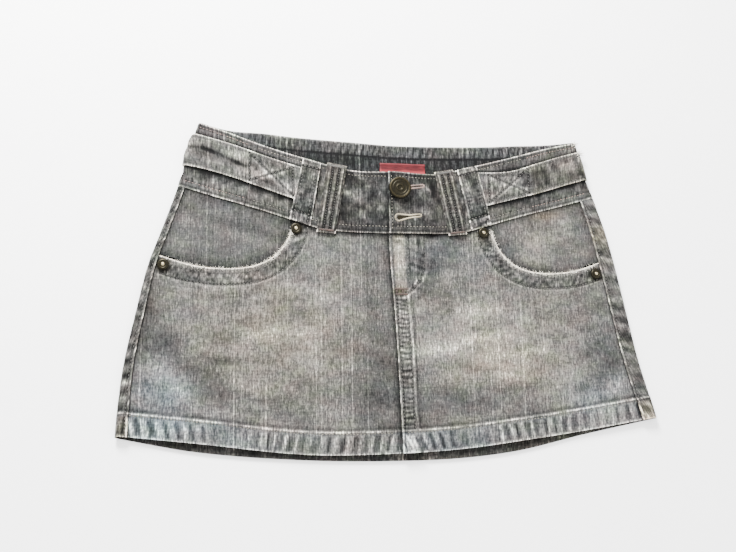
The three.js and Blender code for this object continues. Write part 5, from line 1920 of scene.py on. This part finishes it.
def sew(name, sheet_name, lines, material, step=STITCH_STEP, rise=1.0):
    """Rows of stitches along lines on a sheet."""
    places, along, scales = [], [], []
    for line in lines:
        line = np.asarray(line, float)
        count = max(int(round(line_length(line) / step)), 1)
        ends = even_steps(line, count)
        middle, way = (ends[1:] + ends[:-1]) / 2, np.diff(ends, axis=0)
        size = np.linalg.norm(way, axis=1)
        turn = hand.normal(0, 0.05, count)
        way = np.stack([way[:, 0] - turn * way[:, 1], way[:, 1] + turn * way[:, 0]], 1)
        places.append(middle + hand.normal(0, 0.06, middle.shape))
        along.append(way)
        long = size - STITCH_GAP * (0.8 + 0.4 * hand.rand(count))
        scales.append(np.stack([long, 0 * long + STITCH_WIDTH, 0 * long + STITCH_HEIGHT * rise], 1))
    joined = [np.concatenate(part) for part in (places, along, scales)]
    laid = lay(name, stitch, sheet_name, *joined, material)
    print(name, "has", laid, "stitches")


# %% [markdown]
# ## Rows of stitches
#
# Each row follows its seam at the distance where the sheets have their hollow: along the hem,
# round the pockets, down the fly and the felled seam, and along the band, tabs, loops and sides.

# %% Rows on the panels
def hem_row(side):
    x = np.linspace(0.02, 1, 90) * float(seam_x(side, -115)) * SIDES[side] + (2 if side == "left" else 0)
    return np.stack([x, hem_front(x) + STITCH_ROW_UP], 1)


def beside_opening(side, away, start=0.03, end=0.955):
    line = pocket_line[side]
    run = directions(line)
    moved = line + away * np.stack([run[:, 1], -run[:, 0]], 1)
    first, last = int(start * OPENING_SAMPLES), int(end * OPENING_SAMPLES)
    return moved[first:last] * (SIDES[side], 1)


def centre_row(past, low_y, high_y):
    y = np.linspace(low_y, high_y, 60)
    return np.stack([centre_front(y) + past, y], 1)


for side in SIDES:
    panel = "front_panel_" + side
    sew("stitches_hem_" + side, panel, [hem_row(side)], pale_thread)
    sew("stitches_pocket_" + side, panel, [beside_opening(side, away) for away in POCKET_ROWS], grey_thread)
HEM_TOP = float(hem_front(10)) + STITCH_ROW_UP
sew("stitches_fly", "front_panel_left", [fly_curve, centre_row(FLY_STRAIGHT_ROW, 2, 51),
                                         centre_row(1.6, 2, 52)], grey_thread)
sew("stitches_centre", "front_panel_left", [centre_row(row, HEM_TOP + 3, FLY_END - 6) for row in FELL_ROWS],
    grey_thread)


# %% Rows on the side seams, the band, the tabs and the loops
def side_row(side):
    y = np.linspace(HEM_SIDE[side] + 4, BAND_SIDE_BOTTOM - 4, 90)
    return np.stack([SIDES[side] * (seam_x(side, y) + SIDE_SEAM_ROW), y], 1)


def band_row(side, start, end, from_top=None, from_bottom=None):
    x = np.linspace(start, end, 60) * SIDES[side]
    edge = band_top_front(x) - from_top if from_bottom is None else band_bottom_front(x) + from_bottom
    return np.stack([x, edge], 1)


def strap_row(side, from_low=None, from_top=None, start=90, end=190):
    x = np.linspace(start, end, 50)
    y = strap_top[side](x) - from_top if from_low is None else strap_bottom[side](x) + from_low
    return np.stack([x * SIDES[side], y], 1)


def loop_line(corners, inset, start=0.03, end=0.97):
    """A line up a loop at a share of its width."""
    top, low = corners["top"], corners["bottom"]
    foot = np.array(low[:2]) + (np.array(low[2:]) - low[:2]) * inset
    head = np.array(top[:2]) + (np.array(top[2:]) - top[:2]) * inset
    return np.array([foot + (head - foot) * start, foot + (head - foot) * end])


def loop_across(corners, up, start=0.1, end=0.9):
    top, low = corners["top"], corners["bottom"]
    outer = np.array(low[:2]) + (np.array(top[:2]) - low[:2]) * up
    inner = np.array(low[2:]) + (np.array(top[2:]) - low[2:]) * up
    return np.array([outer + (inner - outer) * start, outer + (inner - outer) * end])


BAND_JOIN_X = {"right": 139, "left": 137.5}
for side in SIDES:
    way = SIDES[side]
    sew("stitches_side_" + side, "back_panel_" + side, [side_row(side)], grey_thread)
    start = 6 if side == "right" else 2
    front_rows = [band_row(side, start, BAND_JOIN_X[side] - 2, from_top=BAND_STITCH_ROWS["top"]),
                  band_row(side, start, BAND_JOIN_X[side] - 4, from_bottom=BAND_STITCH_ROWS["bottom"])]
    sew("stitches_band_" + side, "waistband_front_" + side, front_rows, pale_thread)
    outer_rows = [band_row(side, BAND_JOIN_X[side], 192, from_top=BAND_STITCH_ROWS["top"]),
                  band_row(side, BAND_JOIN_X[side], 198, from_bottom=BAND_STITCH_ROWS["bottom"])]
    sew("stitches_band_side_" + side, "waistband_back", outer_rows, rose_thread)
    box = [np.array(pair, float) * (way, 1) for pair in box_lines(side)]
    edges = [strap_row(side, from_low=STRAP_ROW), strap_row(side, from_top=STRAP_ROW)]
    sew("stitches_strap_" + side, "strap_" + side, edges + box, grey_thread)
    corners = WIDE_LOOP[side]
    wide = [loop_line(corners, 0.15), loop_line(corners, 0.85)]
    wide += [loop_across(corners, at / WIDE_LOOP_LENGTH) for at in WIDE_LOOP_SEAMS]
    sew("stitches_loop_wide_" + side, "loop_wide_" + side, wide, grey_thread)
    corners = NARROW_LOOP[side]
    sew("stitches_loop_narrow_" + side, "loop_narrow_" + side,
        [loop_line(corners, 1 / 3), loop_line(corners, 2 / 3)], grey_thread, step=2.5, rise=0.5)
sew("stitches_overlap", "waistband_front_left",
    [[(BAND_CENTRE_X + 2.8, y) for y in np.linspace(57, 112, 20)]], pale_thread)

# %% [markdown]
# ## Bar tacks and button holes
#
# A bar tack is a short bar of stitches laid side by side. A button hole is the same satin stitch
# all round a slit, with an eye at the end where the button's shank sits.


# %% Bar tacks
SATIN_STEP = 0.55


def bar_tack(name, sheet_name, bars, material, width=2.2):
    places, along = [], []
    for start, end in bars:
        start, end = np.array(start, float), np.array(end, float)
        count = int(np.linalg.norm(end - start) / SATIN_STEP)
        way = (end - start) / np.linalg.norm(end - start)
        for i in range(count):
            places.append(start + (end - start) * (i + 0.5) / count + hand.normal(0, 0.05, 2))
            along.append((-way[1] + hand.normal(0, 0.08), way[0] + hand.normal(0, 0.08)))
    scales = np.tile([width, SATIN_STEP * 1.15, 0.75], (len(places), 1))
    laid = lay(name, stitch, sheet_name, places, along, scales, material, sink=0)
    print(name, "has", laid, "stitches")


def tack_across(corners, up):
    return [tuple(map(tuple, loop_across(corners, up, 0.12, 0.88)))]


for side in SIDES:
    loop, corners = "loop_narrow_" + side, NARROW_LOOP[side]
    bar_tack("tack_low_" + side, loop, tack_across(corners, 0.035), rust_thread, 2.4)
    bar_tack("tack_high_" + side, loop, tack_across(corners, 0.965), grey_thread)
FLY_TACKS = [((-0.5, -0.6), (12.5, -0.6)), ((0, -5.8), (12, -5.8)),
             ((1, -4.5), (1, -2)), ((7, -4.5), (7, -2))]
bar_tack("tack_fly", "front_panel_left", FLY_TACKS, rust_thread, 2.6)


# %% Button holes
def button_hole(name, eye, end, eye_radius, material, width, eye_shown=True):
    eye, end = np.array(eye, float), np.array(end, float)
    way = (end - eye) / np.linalg.norm(end - eye)
    side_way = np.array([-way[1], way[0]])
    leg = 0.3
    angles = np.linspace(1.0, 2 * np.pi - 1.0, 60)
    ring = [eye + eye_radius * (math.cos(a) * way + math.sin(a) * side_way) for a in angles]
    neck = (eye + end) / 2
    ring = [neck + leg * side_way, *ring, neck - leg * side_way]
    if not eye_shown:
        ring = [eye + leg * side_way, eye - leg * side_way]
    outline = [end + leg * side_way, *ring, end - leg * side_way]
    outline = even_steps(np.array(outline), int(line_length(np.array(outline)) / SATIN_STEP))
    middle, run = (outline[1:] + outline[:-1]) / 2, np.diff(outline, axis=0)
    away = np.stack([run[:, 1], -run[:, 0]], 1) / np.linalg.norm(run, axis=1)[:, None]
    centre = outline.mean(0)
    if ((middle - centre) * away).sum() < 0:
        away = -away
    places = middle + away * width * 0.5
    tip = [end + way * (0.4 + 0.35 * k) for k in range(3)]
    places, along = np.vstack([places, tip]), np.vstack([away, [side_way] * 3])
    scales = np.tile([width, SATIN_STEP * 1.25, 0.85], (len(places), 1))
    scales[-3:, 0] = 2 * width
    laid = lay(name, stitch, "waistband_front_left", places, along, scales, material, sink=-0.05)
    print(name, "has", laid, "stitches")


button_hole("button_hole_low", (4.6, 68.9), (26, 71.4), 2.5, cream_thread, 1.9)
button_hole("button_hole_high", (8, 98.6), (29.6, 101), 1.9, rose_thread, 2.1, eye_shown=False)

# %% [markdown]
# The slit itself is a gap that lies in shade. A thin dark strip, swelling to the eye, lies inside the
# stitches as painted shadow in place of the gap.

# %% Slits
# painted shadow: no hole is cut, a dark sheet stands for the shade in the slit
slit_painted_shadow, tree, shader = new_material("painted shadow of the button hole")
tone = blended(tree, srgb(9, 8, 6), grain_on(tree, 2000.0), srgb(34, 30, 22))
complete(tree, shader, tone, {"Roughness": 0.95, "Specular IOR Level": 0.02})


def slit(name, eye, end, eye_radius):
    eye, end = np.array(eye, float), np.array(end, float)
    run = np.linspace(0, 1, 26)
    length = np.linalg.norm(end - eye)
    way = (end - eye) / length
    middle = eye + (end - eye) * run[:, None] - way * eye_radius * (1 - run[:, None])
    from_eye = run * (length + eye_radius) - eye_radius
    taper = 0.22 + (eye_radius - 0.22) * np.clip(1 - from_eye / (0.5 * length), 0, 1)
    round_end = np.sqrt(np.clip(eye_radius**2 - from_eye**2, 0.02, None))
    half = np.where(from_eye < 0, round_end, taper)
    side_way = np.array([-way[1], way[0]])
    across = np.linspace(-1, 1, 5)
    xy = middle[:, None] + half[:, None, None] * across[None, :, None] * side_way
    x, y = xy[..., 0], xy[..., 1]
    over = metres(with_height(x, y, 0 * x)).reshape(-1, 3)
    top = [cast_down("waistband_front_left", at[0], at[1])[0].z / MM for at in over]
    top = np.reshape(top, x.shape)
    outer, inner = with_height(x, y, top + 0.1), with_height(x, y, top - 0.3)
    piece = cloth(name, outer, inner, xy, np.zeros((*top.shape, 4)), [slit_painted_shadow])
    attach(piece, "root")
    sheets["waistband_front_left"]["sewn"].append(piece)


slit("slit_low", (4.6, 68.9), (24, 71.2), 1.9)
slit("slit_high", (8, 98.6), (29.2, 101), 0.4)

# %% [markdown]
# ## Frayed pocket edges
#
# The scoops are cut and left raw, so the warp has worn away along the edge and the white weft
# stands out as a ragged fringe. One fibre, a thin cone of three sides, is bent and copied by the
# hundred along each opening, in uneven tufts.

# %% Fibres
bare_cotton = thread("bare cotton", (168, 162, 148), (242, 238, 224), spread=0.6)
deselect()
bpy.ops.mesh.primitive_cone_add(vertices=3, radius1=0.5, radius2=0.12, depth=1, location=(0.5, 0, 0),
                                rotation=(0, math.pi / 2, 0))
fibre_maker = bpy.context.object
bpy.ops.object.transform_apply(location=True, rotation=True, scale=True)
bpy.ops.object.mode_set(mode="EDIT")
bpy.ops.mesh.select_all(action="SELECT")
bpy.ops.mesh.bisect(plane_co=(0.5, 0, 0), plane_no=(1, 0, 0))
bpy.ops.transform.translate(value=(0, 0, 0.35))
bpy.ops.object.mode_set(mode="OBJECT")
fibre = take_shape(fibre_maker)
print("a fibre has", len(fibre[1]), "faces")
FIBRES = 620


def fray(side):
    way, line = SIDES[side], pocket_line[side]
    length = line_length(line)
    seed = 161 + SEED_STEP[side]
    run = np.sort(hand.rand(FIBRES)) * 0.94 + 0.035
    dense = noise(run * length / 9, 0, seed)
    thick = 0.6 + 0.4 * bump(run, FRAY_THICK[side], 0.25)
    keep = hand.rand(FIBRES) < (0.72 + 0.35 * dense) * thick
    run, dense = run[keep], dense[keep]
    shares = np.linspace(0, 1, len(line))
    at, tangent = (np.stack([np.interp(run, shares, values[:, k]) for k in (0, 1)], 1)
                   for values in (line, directions(line)))
    down = np.stack([tangent[:, 1], -tangent[:, 0]], 1)
    count = len(run)
    away = hand.rand(count) ** 1.6 * 1.3 * (0.6 + 0.7 * (dense > 0.1))
    at = at + down * away[:, None]
    lean = hand.normal(0, 1.0, count)
    direction = tangent * lean[:, None] + down * hand.choice([-1, 1], count, p=[0.35, 0.65])[:, None]
    direction *= (way, 1)
    at *= (way, 1)
    scales = np.stack([0.9 + 1.7 * hand.rand(count) ** 2 + 0.6 * (dense + 1), 0.26 + 0.14 * hand.rand(count),
                       0.3 + 0.3 * hand.rand(count)], 1)
    laid = lay("frayed_edge_" + side, fibre, "front_panel_" + side, at, direction, scales,
               bare_cotton, sink=-0.12)
    print(side, "pocket has", laid, "fibres")


for side in SIDES:
    fray(side)

# %% [markdown]
# At the wearer's left end of the waist a few long threads have come loose from the seam. They are
# the same fibre again, longer and thicker.

# %% Loose threads
LOOSE_TRIES = 24
for sheet_name in ("strap_left", "waistband_back"):
    points = [v.co for v in sheets[sheet_name]["piece"].data.vertices]
    corner = max(points, key=lambda p: p.x + p.y)
    places, along, sized = [], [], []
    for _ in range(LOOSE_TRIES):
        x, y = np.array(corner[:2]) + (hand.normal(-1.5, 2.0, 2) * MM)
        hit, _ = cast_down(sheet_name, x, y)
        if hit is not None:
            turn = hand.normal(0.5, 0.6)
            places.append(hit + Vector((0, 0, 0.2 * MM)))
            along.append((math.cos(turn), math.sin(turn), 0.1))
            sized.append((3 + 4 * hand.rand(), 0.5, 1.2))
    up = np.tile([0, 0, 1.0], (len(places), 1))
    loose = copies("loose_threads_" + sheet_name, fibre, np.array(places), np.array(along), up,
                   np.array(sized) * MM, bare_cotton)
    sheets[sheet_name]["sewn"].append(loose)
    print(sheet_name, "has", len(places), "loose threads")

# %% [markdown]
# ## Sizes of the cloth
#
# Each sheet has already noted the size of its flat cut, what it rests on and what is sewn on it.
# Last, the box of the CAD part and the box of the finished skirt are put side by side, and the
# second is printed.

# %% Sheets and sizes
size = {"cad": [list(corner) for corner in cad_box], "visual": [list(corner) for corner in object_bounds()]}
print("visual box in metres:", [[round(x, 4) for x in corner] for corner in size["visual"]])
